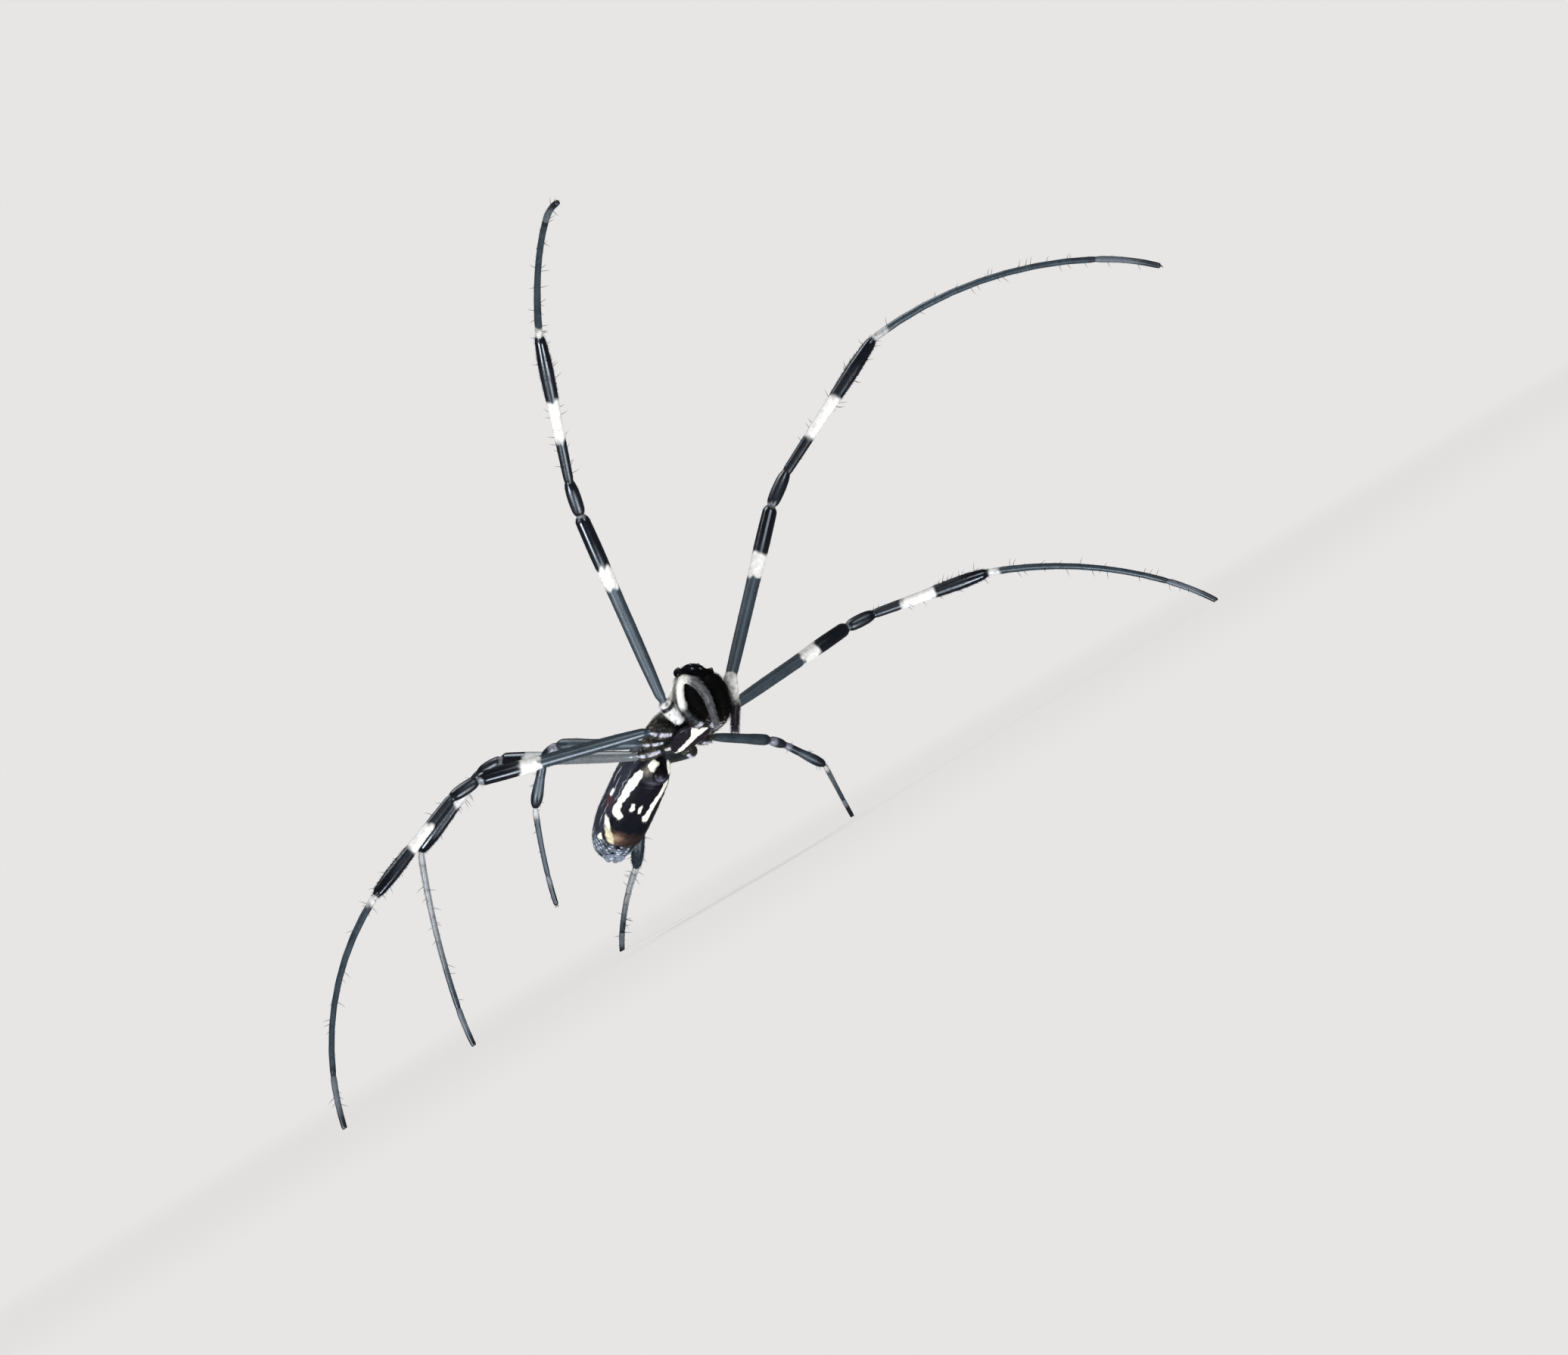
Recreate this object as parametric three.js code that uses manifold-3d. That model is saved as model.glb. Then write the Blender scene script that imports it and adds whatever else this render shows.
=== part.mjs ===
// A female golden silk orb weaver at life size, in millimetres, +Z up, standing on the plane z = 0.
// The origin is under the middle of the animal. Body pieces use X forward, Y left and Z up in the
// frame of the front body, whose origin is the middle of the breastplate.
import * as THREE from "three";
import { mergeVertices } from "three/addons/utils/BufferGeometryUtils.js";
import Module from "manifold-3d";

const wasm = await Module();
wasm.setup();

// Stance: the breastplate's middle, and the body's heading, nose up and right side down in degrees
const GAP = 0.3;
const BREAST_PLACE = new THREE.Vector3(-10.1, 0, 13.6);
const BODY_TURN = { heading: -44, pitch: 11, roll: -25 };
const FOOT_SINK = 0.05;

// Front body: the stations of the head shield from back to front, and its profiles
const SHIELD = {
  x: [-4.2, -3.5, -2.3, -0.8, 0.8, 2.0, 3.1, 3.9, 4.3],
  halfWidth: [0.9, 1.9, 2.6, 2.85, 2.65, 2.2, 2.1, 2.0, 1.75],
  top: [2.3, 2.6, 2.9, 3.1, 3.4, 4.4, 5.15, 5.3, 5.0],
  bottom: [1.6, 1.6, 1.65, 1.7, 1.75, 1.85, 2.4, 3.6, 3.85],
};
const SHIELD_EDGE = 0.3;
const SHIELD_POWER = 0.9;
const SHIELD_STEPS = 16;
const SHIELD_SIDES = 24;
const CORE = { place: [-0.2, 0, 1.75], radii: [3.3, 1.55, 1.1] };
const PEDICEL = { from: [-3.2, 0, 1.75], to: [-5.4, 0, 1.7], radius: 0.45 };
const BREAST = { length: 4.6, halfWidth: 1.75, thickness: 0.55, crown: 0.3, labium: 0.55 };

// Abdomen: a blunt cylinder hung from the pedicel, drooping, bent to the left and twisted
const ABDOMEN = { length: 12.6, halfWidth: 2.42, back: 2.5, belly: 2.4 };
const ABDOMEN_PLACE = [-4.8, 0, 1.9];
const ABDOMEN_TURN = { heading: -4, pitch: 16, roll: -14 };
const ABDOMEN_BLUNT = { front: 3.2, rear: 2.7 };
const ABDOMEN_STEPS = 20;
const ABDOMEN_SIDES = 28;
const EPIGYNE = { at: 0.12, left: 0.7, radii: [0.85, 1.0, 0.5], sunk: 0.18 };
const SPINNERETS = { at: 0.92, lean: -35, front: 0.46, rear: 0.36, length: 1.1, socket: 1.3 };

// Jaws and feelers of the mouth
const JAW = { top: [4.0, 1.1, 4.0], bulge: [4.45, 1.02, 2.3], bottom: [4.55, 0.9, -0.4] };
const JAW_RADII = [0.95, 1.05, 1.0, 0.72];
const FANG = { from: [4.7, 0.95, -0.25], bend: [4.45, 0.8, -0.75], tip: [4.0, 0.35, -0.75], radius: 0.28 };
const PALP_ROOT = [[3.05, 0.85, 0.0], [3.35, 1.55, 0.35], [3.75, 2.4, 1.2]];
const PALP_REACH = {
  right: [[5.0, 2.8, 3.6], [5.6, 2.7, 3.5], [6.5, 2.0, 1.7], [6.2, 1.65, -2.3]],
  left: [[4.8, 2.85, 3.5], [5.1, 2.8, 3.3], [4.75, 2.65, 1.4], [3.9, 2.15, -1.4]],
};
const PALP_RADII = [0.5, 0.42, 0.34, 0.4, 0.42, 0.36, 0.26];

// Eyes: radius, and the mounds that carry them
const EYE_RADIUS = 0.2;
const MIDDLE_EYES = { mound: [3.95, 0, 4.9], radii: [0.5, 0.75, 0.5], spread: 0.42, rise: 0.24, face: 0.36 };
const SIDE_EYES = { mound: [3.85, 1.7, 4.6], radii: [0.42, 0.4, 0.42], spread: 0.2, out: 0.24 };

// Legs: for each pair the inner end of the coxa and the root of the femur on the left side, the
// lengths of femur, patella, tibia, metatarsus and tarsus, and how thick the leg is
const PAIRS = {
  1: { coxa: [1.95, 1.65, 0.65], root: [3.0, 3.8, 2.5], lengths: [18.4, 3.3, 14.3, 21.5, 5.8], girth: 1 },
  2: { coxa: [0.55, 1.8, 0.5], root: [1.0, 4.4, 2.0], lengths: [15.6, 2.8, 11.0, 16.5, 4.8], girth: 0.97 },
  3: { coxa: [-0.9, 1.7, 0.5], root: [-1.4, 4.0, 1.4], lengths: [8.2, 2.0, 4.9, 6.8, 2.9], girth: 0.84 },
  4: { coxa: [-2.15, 1.15, 0.5], root: [-3.6, 3.1, 1.0], lengths: [14.5, 2.6, 9.2, 14.5, 3.7], girth: 0.95 },
};
// Radius along each segment of a leg of girth 1, from its root to its far end
const GIRTHS = {
  coxa: [0.56, 0.72, 0.76, 0.55],
  femur: [0.46, 0.62, 0.65, 0.62, 0.6, 0.54],
  patella: [0.52, 0.6, 0.52],
  tibia: [0.5, 0.5, 0.48, 0.56, 0.6, 0.42],
  metatarsus: [0.36, 0.34, 0.32, 0.3, 0.3],
  tarsus: [0.3, 0.29, 0.27, 0.25, 0.2],
};
const SEGMENT_STEPS = { femur: 4, patella: 1, tibia: 4, metatarsus: 7, tarsus: 3 };
const LEG_SIDES = 10;
const COXA_STEPS = 5;
const KNEE_EASE = 0.5;
const ROOT_EASE = 0.8;
const BOW_STEPS = 8;
const CURL_STEPS = 4;
const BOW_EASE = 0.3;

// Pose of each leg in degrees: azimuth and elevation of femur, tibia and metatarsus, then how far the
// metatarsus bows down and the tarsus curls. A standing leg's last elevation is solved for its foot.
const POSES = {
  r1: { femur: [-68, 71], tibia: [-56, 57], metatarsus: [-74, 27], bow: 15, curl: 15 },
  r2: { femur: [190, 15], tibia: [192, -21], metatarsus: [192, -25], bow: 40, curl: 11, stands: true },
  r3: { femur: [151, 27], tibia: [148, -44], metatarsus: [128, -54], bow: 8, curl: 8 },
  r4: { femur: [143, 24], tibia: [165, -21], metatarsus: [172, -65], bow: 11, curl: 8, stands: true },
  l1: { femur: [25, 43], tibia: [2, 26], metatarsus: [-9, 6], bow: 35, curl: 16 },
  l2: { femur: [34, 3], tibia: [5, -11], metatarsus: [-14, -20], bow: 26, curl: 12, stands: true },
  l3: { femur: [58, -20], tibia: [51, -45], metatarsus: [92, -28], bow: 8, curl: 8, stands: true },
  l4: { femur: [106, 5], tibia: [139, -47], metatarsus: [109, -13], bow: 10, curl: 8, stands: true },
};
// How far each femur root is swung from its place on a body at rest, forward, left and up
const ROOT_SWINGS = {
  r1: [0, 0, -0.2],
  r2: [-0.6, 0, -1.35],
  r3: [-0.3, 0.2, -0.75],
  r4: [0, 0, -0.4],
  l1: [-0.25, -0.4, 0.15],
  l2: [0.2, 0, 0.4],
  l3: [0, 0, -0.2],
  l4: [0, 0, 0],
};

const paint = (color, roughness) => new THREE.MeshStandardMaterial({ color, roughness, metalness: 0 });
const MATERIALS = {
  shield: paint(0xb9b7ab, 0.6),
  dark: paint(0x1c1a20, 0.3),
  purple: paint(0x2b2430, 0.35),
  cream: paint(0xd9d4bf, 0.5),
  slate: paint(0x4c5660, 0.4),
  eye: paint(0x08080a, 0.1),
};
const SEGMENT_MATERIALS = {
  coxa: "dark",
  femur: "slate",
  patella: "dark",
  tibia: "dark",
  metatarsus: "slate",
  tarsus: "dark",
};

const vector = (p) => (p.isVector3 ? p.clone() : new THREE.Vector3(...p));
const mirrored = (p, side) => new THREE.Vector3(p[0], side * p[1], p[2]);
const radians = THREE.MathUtils.degToRad;

function turnOf({ heading, pitch, roll }) {
  return new THREE.Euler(radians(roll), radians(-pitch), radians(heading), "ZYX");
}

// Unit vector at an azimuth from +X towards +Y and an elevation above the floor
function bearing([azimuth, elevation]) {
  const level = Math.cos(radians(elevation));
  return new THREE.Vector3(
    level * Math.cos(radians(azimuth)),
    level * Math.sin(radians(azimuth)),
    Math.sin(radians(elevation)),
  );
}

// Smooth value at x through the points (xs, ys)
function profile(xs, ys) {
  const curve = new THREE.CubicInterpolant(xs, ys, 1);
  return (x) => curve.evaluate(x)[0];
}

// Smooth value at 0 to 1 through evenly spaced values
function evenProfile(values) {
  return profile(values.map((_, i) => i / (values.length - 1)), values);
}

// Closed solid through rings of points that turn anticlockwise when seen from the last ring
function loft(rings) {
  const sides = rings[0].length;
  const points = rings.flat();
  const faces = [];
  for (let i = 0; i < rings.length - 1; i++) {
    for (let j = 0; j < sides; j++) {
      const a = i * sides + j;
      const b = i * sides + ((j + 1) % sides);
      faces.push(a, b, b + sides, a, b + sides, a + sides);
    }
  }
  for (const [ring, outward] of [[0, false], [rings.length - 1, true]]) {
    const middle = points.length;
    points.push(rings[ring].reduce((sum, p) => sum.add(p), new THREE.Vector3()).divideScalar(sides));
    for (let j = 0; j < sides; j++) {
      const a = ring * sides + j;
      const b = ring * sides + ((j + 1) % sides);
      faces.push(middle, outward ? a : b, outward ? b : a);
    }
  }
  return new THREE.BufferGeometry().setFromPoints(points).setIndex(faces);
}

// Round tube along a curve between two lengths, with a radius for each station from 0 to 1
function tube(path, stations, radiusAt, sides) {
  const total = path.getLength();
  const rings = [];
  let normal = null;
  for (const [length, share] of stations) {
    const at = THREE.MathUtils.clamp(length / total, 0, 1);
    const centre = path.getPoint(at);
    const tangent = path.getTangent(at);
    normal ??= Math.abs(tangent.z) < 0.8 ? new THREE.Vector3(0, 0, 1) : new THREE.Vector3(0, 1, 0);
    normal = normal.clone().addScaledVector(tangent, -normal.dot(tangent)).normalize();
    const across = new THREE.Vector3().crossVectors(tangent, normal);
    const ring = [];
    for (let j = 0; j < sides; j++) {
      const angle = (2 * Math.PI * j) / sides;
      const arm = normal.clone().multiplyScalar(Math.cos(angle)).addScaledVector(across, Math.sin(angle));
      ring.push(centre.clone().addScaledVector(arm, radiusAt(share)));
    }
    rings.push(ring);
  }
  return loft(rings);
}

// Path through points with each corner eased over the given length to both sides
function easedPath(points, eases) {
  const path = new THREE.CurvePath();
  let from = points[0];
  for (let i = 1; i < points.length - 1; i++) {
    const corner = points[i];
    const before = corner.clone().add(points[i - 1].clone().sub(corner).setLength(eases[i]));
    const after = corner.clone().add(points[i + 1].clone().sub(corner).setLength(eases[i]));
    path.add(new THREE.LineCurve3(from, before));
    path.add(new THREE.QuadraticBezierCurve3(before, corner, after));
    from = after;
  }
  path.add(new THREE.LineCurve3(from, points[points.length - 1]));
  return path;
}

// Tapered limb of one piece through a few points, rounded at both ends
function limb(points, radii, sides, steps, grow = 0) {
  const path = new THREE.CatmullRomCurve3(points.map(vector));
  const radiusAt = evenProfile(radii);
  const length = path.getLength();
  const end = (share) => Math.sqrt(Math.max(0.12, 1 - (1 - Math.min(1, share)) ** 2));
  const stations = [];
  for (let i = 0; i <= steps; i++) {
    const share = (1 - Math.cos((Math.PI * i) / steps)) / 2;
    stations.push([share * length, share]);
  }
  const rounded = (share) => {
    const edge = Math.min(share, 1 - share) * length;
    const radius = radiusAt(share);
    return radius * end(edge / radius) + grow;
  };
  return tube(path, stations, rounded, sides);
}

function ellipsoid(place, radii, grow = 0) {
  const shape = new THREE.SphereGeometry(1, 12, 8);
  shape.scale(radii[0] + grow, radii[1] + grow, radii[2] + grow);
  return shape.translate(...place);
}

function solidOf(geometry) {
  const bare = new THREE.BufferGeometry();
  bare.setAttribute("position", geometry.getAttribute("position").clone());
  bare.setIndex(geometry.index ? Array.from(geometry.index.array) : null);
  const merged = mergeVertices(bare, 1e-4);
  return new wasm.Manifold(
    new wasm.Mesh({
      numProp: 3,
      vertProperties: new Float32Array(merged.attributes.position.array),
      triVerts: new Uint32Array(merged.index.array),
    }),
  );
}

// Joins geometries, cuts others away, and keeps the largest closed body
function carve(joined, cut = []) {
  let solid = joined.map(solidOf).reduce((a, b) => a.add(b));
  for (const tool of cut) solid = solid.subtract(solidOf(tool));
  const bodies = solid.decompose().sort((a, b) => b.volume() - a.volume());
  const mesh = bodies[0].getMesh();
  return new THREE.BufferGeometry()
    .setAttribute("position", new THREE.BufferAttribute(mesh.vertProperties, 3))
    .setIndex(new THREE.BufferAttribute(mesh.triVerts, 1));
}

function addMesh(parent, name, geometry, material) {
  const mesh = new THREE.Mesh(geometry, MATERIALS[material].clone());
  mesh.name = name;
  parent.add(mesh);
  return mesh;
}

const group = new THREE.Group();
const spider = new THREE.Group();
const body = new THREE.Group();
const abdomen = new THREE.Group();
group.add(spider);
spider.add(body);
body.add(abdomen);
body.position.copy(BREAST_PLACE);
body.setRotationFromEuler(turnOf(BODY_TURN));
abdomen.position.set(...ABDOMEN_PLACE);
abdomen.setRotationFromEuler(turnOf(ABDOMEN_TURN));
group.updateMatrixWorld(true);

const SIDES = { l: 1, r: -1 };
const SIDE_NAMES = { l: "left", r: "right" };

// Root of a leg's femur in the body's frame
function rootOf(leg) {
  return mirrored(PAIRS[leg[1]].root, SIDES[leg[0]]).add(vector(ROOT_SWINGS[leg]));
}

// Coxa in the body's frame, from beside the breastplate to the root of the femur
function coxaShape(leg, grow = 0) {
  const { coxa, girth } = PAIRS[leg[1]];
  const from = mirrored(coxa, SIDES[leg[0]]);
  const to = rootOf(leg);
  to.addScaledVector(to.clone().sub(from).normalize(), -GAP / 2);
  const radii = GIRTHS.coxa.map((radius) => radius * girth);
  const middle = from.clone().lerp(to, 0.5);
  return limb([from, middle, to], radii, LEG_SIDES, COXA_STEPS, grow);
}

function palpShape(side, grow = 0) {
  const reach = side > 0 ? PALP_REACH.left : PALP_REACH.right;
  const points = [...PALP_ROOT, ...reach].map((p) => mirrored(p, side));
  return limb(points, PALP_RADII, 8, 14, grow);
}

function jawShape(side, grow = 0) {
  const points = [JAW.top, JAW.bulge, JAW.bottom].map((p) => mirrored(p, side));
  return limb(points, JAW_RADII, 12, 8, grow);
}

function fangShape(side) {
  const points = [FANG.from, FANG.bend, FANG.tip].map((p) => mirrored(p, side));
  return limb(points, [FANG.radius, FANG.radius, FANG.radius / 2], 8, 5);
}

function breastShape(grow = 0) {
  const outline = new THREE.Shape();
  const half = BREAST.length / 2 + grow;
  const wide = BREAST.halfWidth + grow;
  outline.moveTo(half + BREAST.labium, 0.35);
  outline.quadraticCurveTo(half, 0.9, half * 0.75, wide * 0.8);
  outline.quadraticCurveTo(half * 0.3, wide * 1.15, -half * 0.3, wide * 0.8);
  outline.quadraticCurveTo(-half * 0.8, wide * 0.45, -half, 0.2);
  outline.lineTo(-half, -0.2);
  outline.quadraticCurveTo(-half * 0.8, -wide * 0.45, -half * 0.3, -wide * 0.8);
  outline.quadraticCurveTo(half * 0.3, -wide * 1.15, half * 0.75, -wide * 0.8);
  outline.quadraticCurveTo(half, -0.9, half + BREAST.labium, -0.35);
  const plate = new THREE.ExtrudeGeometry(outline, {
    depth: BREAST.thickness,
    bevelEnabled: false,
    curveSegments: 4,
  });
  return plate.translate(0, 0, -BREAST.crown / 2);
}

function middleEyesMound(grow = 0) {
  return ellipsoid(MIDDLE_EYES.mound, MIDDLE_EYES.radii, grow);
}

function sideEyesMound(side, grow = 0) {
  return ellipsoid(mirrored(SIDE_EYES.mound, side).toArray(), SIDE_EYES.radii, grow);
}

function eyeBall(place) {
  return new THREE.SphereGeometry(EYE_RADIUS, 8, 6).translate(...place);
}

function shieldShape() {
  const widthAt = profile(SHIELD.x, SHIELD.halfWidth);
  const topAt = profile(SHIELD.x, SHIELD.top);
  const bottomAt = profile(SHIELD.x, SHIELD.bottom);
  const first = SHIELD.x[0];
  const last = SHIELD.x[SHIELD.x.length - 1];
  const round = (value) => Math.sign(value) * Math.abs(value) ** SHIELD_POWER;
  const rings = [];
  for (let i = 0; i <= SHIELD_STEPS; i++) {
    const x = first + ((last - first) * i) / SHIELD_STEPS;
    const middle = bottomAt(x) + SHIELD_EDGE;
    const ring = [];
    for (let j = 0; j < SHIELD_SIDES; j++) {
      const angle = (2 * Math.PI * j) / SHIELD_SIDES;
      const up = Math.sin(angle);
      const height = up > 0 ? topAt(x) - middle : middle - bottomAt(x);
      ring.push(new THREE.Vector3(x, widthAt(x) * round(Math.cos(angle)), middle + height * round(up)));
    }
    rings.push(ring);
  }
  return loft(rings);
}

// Half width of the abdomen as a share of its greatest, at 0 for the front to 1 for the rear
function bluntness(at) {
  const power = at < 0.5 ? ABDOMEN_BLUNT.front : ABDOMEN_BLUNT.rear;
  return (1 - Math.abs(2 * at - 1) ** power) ** (1 / power);
}

function abdomenShape() {
  const rings = [];
  for (let i = 1; i < ABDOMEN_STEPS; i++) {
    const at = (1 + Math.cos((Math.PI * i) / ABDOMEN_STEPS)) / 2;
    const share = bluntness(at);
    const ring = [];
    for (let j = 0; j < ABDOMEN_SIDES; j++) {
      const angle = (2 * Math.PI * j) / ABDOMEN_SIDES;
      const height = Math.sin(angle) > 0 ? ABDOMEN.back : ABDOMEN.belly;
      ring.push(
        new THREE.Vector3(
          -ABDOMEN.length * at,
          ABDOMEN.halfWidth * share * Math.cos(angle),
          height * share * Math.sin(angle),
        ),
      );
    }
    rings.push(ring);
  }
  return loft(rings);
}

function spinneretsPlace() {
  return [-ABDOMEN.length * SPINNERETS.at, 0, -ABDOMEN.belly * bluntness(SPINNERETS.at) * 0.8];
}

function spinneretsShape() {
  const lean = new THREE.Matrix4().makeRotationY(radians(-SPINNERETS.lean));
  const cones = [];
  for (const [x, y, radius] of [
    [0.5, 0.5, SPINNERETS.front],
    [0.5, -0.5, SPINNERETS.front],
    [-0.4, 0.42, SPINNERETS.rear],
    [-0.4, -0.42, SPINNERETS.rear],
  ]) {
    const points = [[x, y, 0.55], [x * 0.9, y * 0.9, 0], [x * 0.5, y * 0.6, -SPINNERETS.length + 0.55]];
    cones.push(limb(points, [radius * 1.1, radius * 1.15, radius * 0.7], 8, 4));
  }
  const collar = ellipsoid([0, 0, 0.35], [1.0, 1.0, 0.45]);
  return [...cones, collar].map((shape) => shape.applyMatrix4(lean).translate(...spinneretsPlace()));
}

function addFrontBody() {
  const coxae = Object.keys(POSES).map((leg) => coxaShape(leg, GAP));
  const pedicel = limb([PEDICEL.from, PEDICEL.to], [PEDICEL.radius, PEDICEL.radius], 10, 5);
  const mouth = [jawShape(1, GAP), jawShape(-1, GAP), palpShape(1, GAP), palpShape(-1, GAP)];
  const sockets = [middleEyesMound(GAP), sideEyesMound(1, GAP), sideEyesMound(-1, GAP)];
  const core = ellipsoid(CORE.place, CORE.radii);
  const plain = [shieldShape(), core, pedicel];
  addMesh(body, "prosoma", carve(plain, [...coxae, ...mouth, ...sockets]), "shield");
  const coreSpace = ellipsoid(CORE.place, CORE.radii, GAP);
  addMesh(body, "sternum", carve([breastShape()], [coreSpace, ...coxae, ...mouth]), "purple");
}

function addMouth() {
  for (const [key, side] of Object.entries(SIDES)) {
    const coxaSpace = coxaShape(key + "1", GAP);
    const middle = new THREE.BoxGeometry(4, 10, 12).translate(4.2, -side * 5 + (side * GAP) / 2, 2);
    const jaw = carve([jawShape(side), fangShape(side)], [palpShape(side, GAP), coxaSpace, middle]);
    addMesh(body, "chelicera_" + SIDE_NAMES[key], jaw, "dark");
    addMesh(body, "palp_" + SIDE_NAMES[key], carve([palpShape(side)], [coxaSpace]), "cream");
  }
}

function addEyes() {
  const { mound, spread, rise, face } = MIDDLE_EYES;
  const middle = [middleEyesMound()];
  for (const [across, up] of [[-1, -1], [1, -1], [-1, 1], [1, 1]]) {
    middle.push(eyeBall([mound[0] + face - up * 0.06, across * spread, mound[2] + up * rise]));
  }
  addMesh(body, "eyes_median", carve(middle), "eye");
  for (const [key, side] of Object.entries(SIDES)) {
    const [x, y, z] = mirrored(SIDE_EYES.mound, side).toArray();
    const pair = [-1, 1].map((along) =>
      eyeBall([x + SIDE_EYES.out + along * 0.06, y + side * SIDE_EYES.out * 0.5, z + along * SIDE_EYES.spread]),
    );
    addMesh(body, "eyes_lateral_" + SIDE_NAMES[key], carve([sideEyesMound(side), ...pair]), "eye");
  }
}

function addAbdomen() {
  const bellyAt = ABDOMEN.belly * bluntness(EPIGYNE.at);
  const epigyne = ellipsoid(
    [-ABDOMEN.length * EPIGYNE.at, EPIGYNE.left, -bellyAt + EPIGYNE.sunk],
    EPIGYNE.radii,
  );
  const pedicelSpace = limb([PEDICEL.from, PEDICEL.to], [PEDICEL.radius, PEDICEL.radius], 10, 5, GAP);
  pedicelSpace.applyMatrix4(abdomen.matrix.clone().invert());
  const socket = ellipsoid(spinneretsPlace(), [SPINNERETS.socket, SPINNERETS.socket, SPINNERETS.socket]);
  addMesh(abdomen, "abdomen", carve([abdomenShape(), epigyne], [pedicelSpace, socket]), "purple");
  addMesh(abdomen, "spinnerets", carve(spinneretsShape()), "slate");
}

// Joint points of one leg from the root of the femur to the claws, with the pose's bow and curl
function legPoints(root, lengths, pose, startElevation) {
  const [femur, patella, tibia, metatarsus, tarsus] = lengths;
  const knee = root.clone().addScaledVector(bearing(pose.femur), femur);
  const between = pose.femur.map((angle, i) => (angle + pose.tibia[i]) / 2);
  const bend = knee.clone().addScaledVector(bearing(between), patella);
  const ankle = bend.clone().addScaledVector(bearing(pose.tibia), tibia);
  const points = [root, knee, bend, ankle];
  let last = ankle;
  const azimuth = pose.metatarsus[0];
  for (let i = 0; i < BOW_STEPS; i++) {
    const elevation = startElevation - (pose.bow * (i + 0.5)) / BOW_STEPS;
    last = last.clone().addScaledVector(bearing([azimuth, elevation]), metatarsus / BOW_STEPS);
    points.push(last);
  }
  for (let i = 0; i < CURL_STEPS; i++) {
    const elevation = startElevation - pose.bow - (pose.curl * (i + 0.5)) / CURL_STEPS;
    last = last.clone().addScaledVector(bearing([azimuth, elevation]), tarsus / CURL_STEPS);
    points.push(last);
  }
  return points;
}

// Start elevation of the metatarsus that brings a standing leg's claws to the floor
function solvedElevation(root, lengths, pose) {
  let [low, high] = [pose.metatarsus[1] - 25, pose.metatarsus[1] + 25];
  for (let i = 0; i < 40; i++) {
    const middle = (low + high) / 2;
    const tip = legPoints(root, lengths, pose, middle).pop();
    if (tip.z > -FOOT_SINK) high = middle;
    else low = middle;
  }
  return (low + high) / 2;
}

// Stations along one segment: its ends, the eased lengths beside its joints, and even steps between
function segmentStations(from, to, steps) {
  const lengths = [from + GAP / 2];
  const inner = [from + KNEE_EASE, to - KNEE_EASE];
  for (let i = 0; i <= steps; i++) lengths.push(inner[0] + ((inner[1] - inner[0]) * i) / steps);
  lengths.push(to - GAP / 2);
  return lengths.map((length) => [length, (length - from) / (to - from)]);
}

// Block whose top is the floor, for the small flats under the claws
function floorBlock() {
  return new THREE.BoxGeometry(400, 400, 10).translate(0, 0, -5);
}

// Lengths along the eased path at which its corners lie, and its end
function cornerLengths(path) {
  const ends = path.getCurveLengths();
  const corners = [];
  for (let i = 1; i < ends.length; i += 2) corners.push((ends[i - 1] + ends[i]) / 2);
  return [...corners, ends[ends.length - 1]];
}

function addLeg(name, pose) {
  const { coxa, lengths, girth } = PAIRS[name[1]];
  addMesh(body, name + "_coxa", coxaShape(name), SEGMENT_MATERIALS.coxa);
  const coxaSpace = coxaShape(name, GAP).applyMatrix4(body.matrixWorld);
  const inner = body.localToWorld(mirrored(coxa, SIDES[name[0]]));
  const start = body.localToWorld(rootOf(name));
  const elevation = pose.stands ? solvedElevation(start, lengths, pose) : pose.metatarsus[1];
  const joints = legPoints(start, lengths, pose, elevation);
  const neck = start.clone().add(inner.sub(start).setLength(2 * ROOT_EASE));
  const eases = [0, ROOT_EASE, KNEE_EASE, KNEE_EASE, KNEE_EASE];
  while (eases.length <= joints.length) eases.push(BOW_EASE);
  const path = easedPath([neck, ...joints], eases);
  const corners = cornerLengths(path);
  const ends = [0, 1, 2, 3, 3 + BOW_STEPS, 3 + BOW_STEPS + CURL_STEPS].map((i) => corners[i]);
  ["femur", "patella", "tibia", "metatarsus", "tarsus"].forEach((segment, i) => {
    const stations = segmentStations(ends[i], ends[i + 1], SEGMENT_STEPS[segment]);
    const radiusAt = evenProfile(GIRTHS[segment].map((radius) => radius * girth));
    let shape = tube(path, stations, radiusAt, LEG_SIDES);
    if (segment === "femur") shape = carve([shape], [coxaSpace]);
    if (segment === "tarsus" && pose.stands) shape = carve([shape], [floorBlock()]);
    addMesh(spider, name + "_" + segment, shape, SEGMENT_MATERIALS[segment]);
  });
}

addFrontBody();
addMouth();
addEyes();
addAbdomen();
for (const [name, pose] of Object.entries(POSES)) addLeg(name, pose);

// The origin goes under the middle of the animal, on the floor
group.updateMatrixWorld(true);
const middle = new THREE.Box3().setFromObject(spider, true).getCenter(new THREE.Vector3());
spider.position.set(-middle.x, -middle.y, 0);

export default group;
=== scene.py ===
"""A golden silk orb weaver at life size: the looks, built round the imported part.

Shapes are worked out in millimetres and become metres as each piece is made. Body pieces use X
forward, Y left and Z up from the middle of the breastplate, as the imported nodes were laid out.
A tone is linear red, green and blue with roughness, and a surface has one at each point.
"""

import math

import bpy
import numpy as np
from mathutils import Matrix, kdtree


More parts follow.
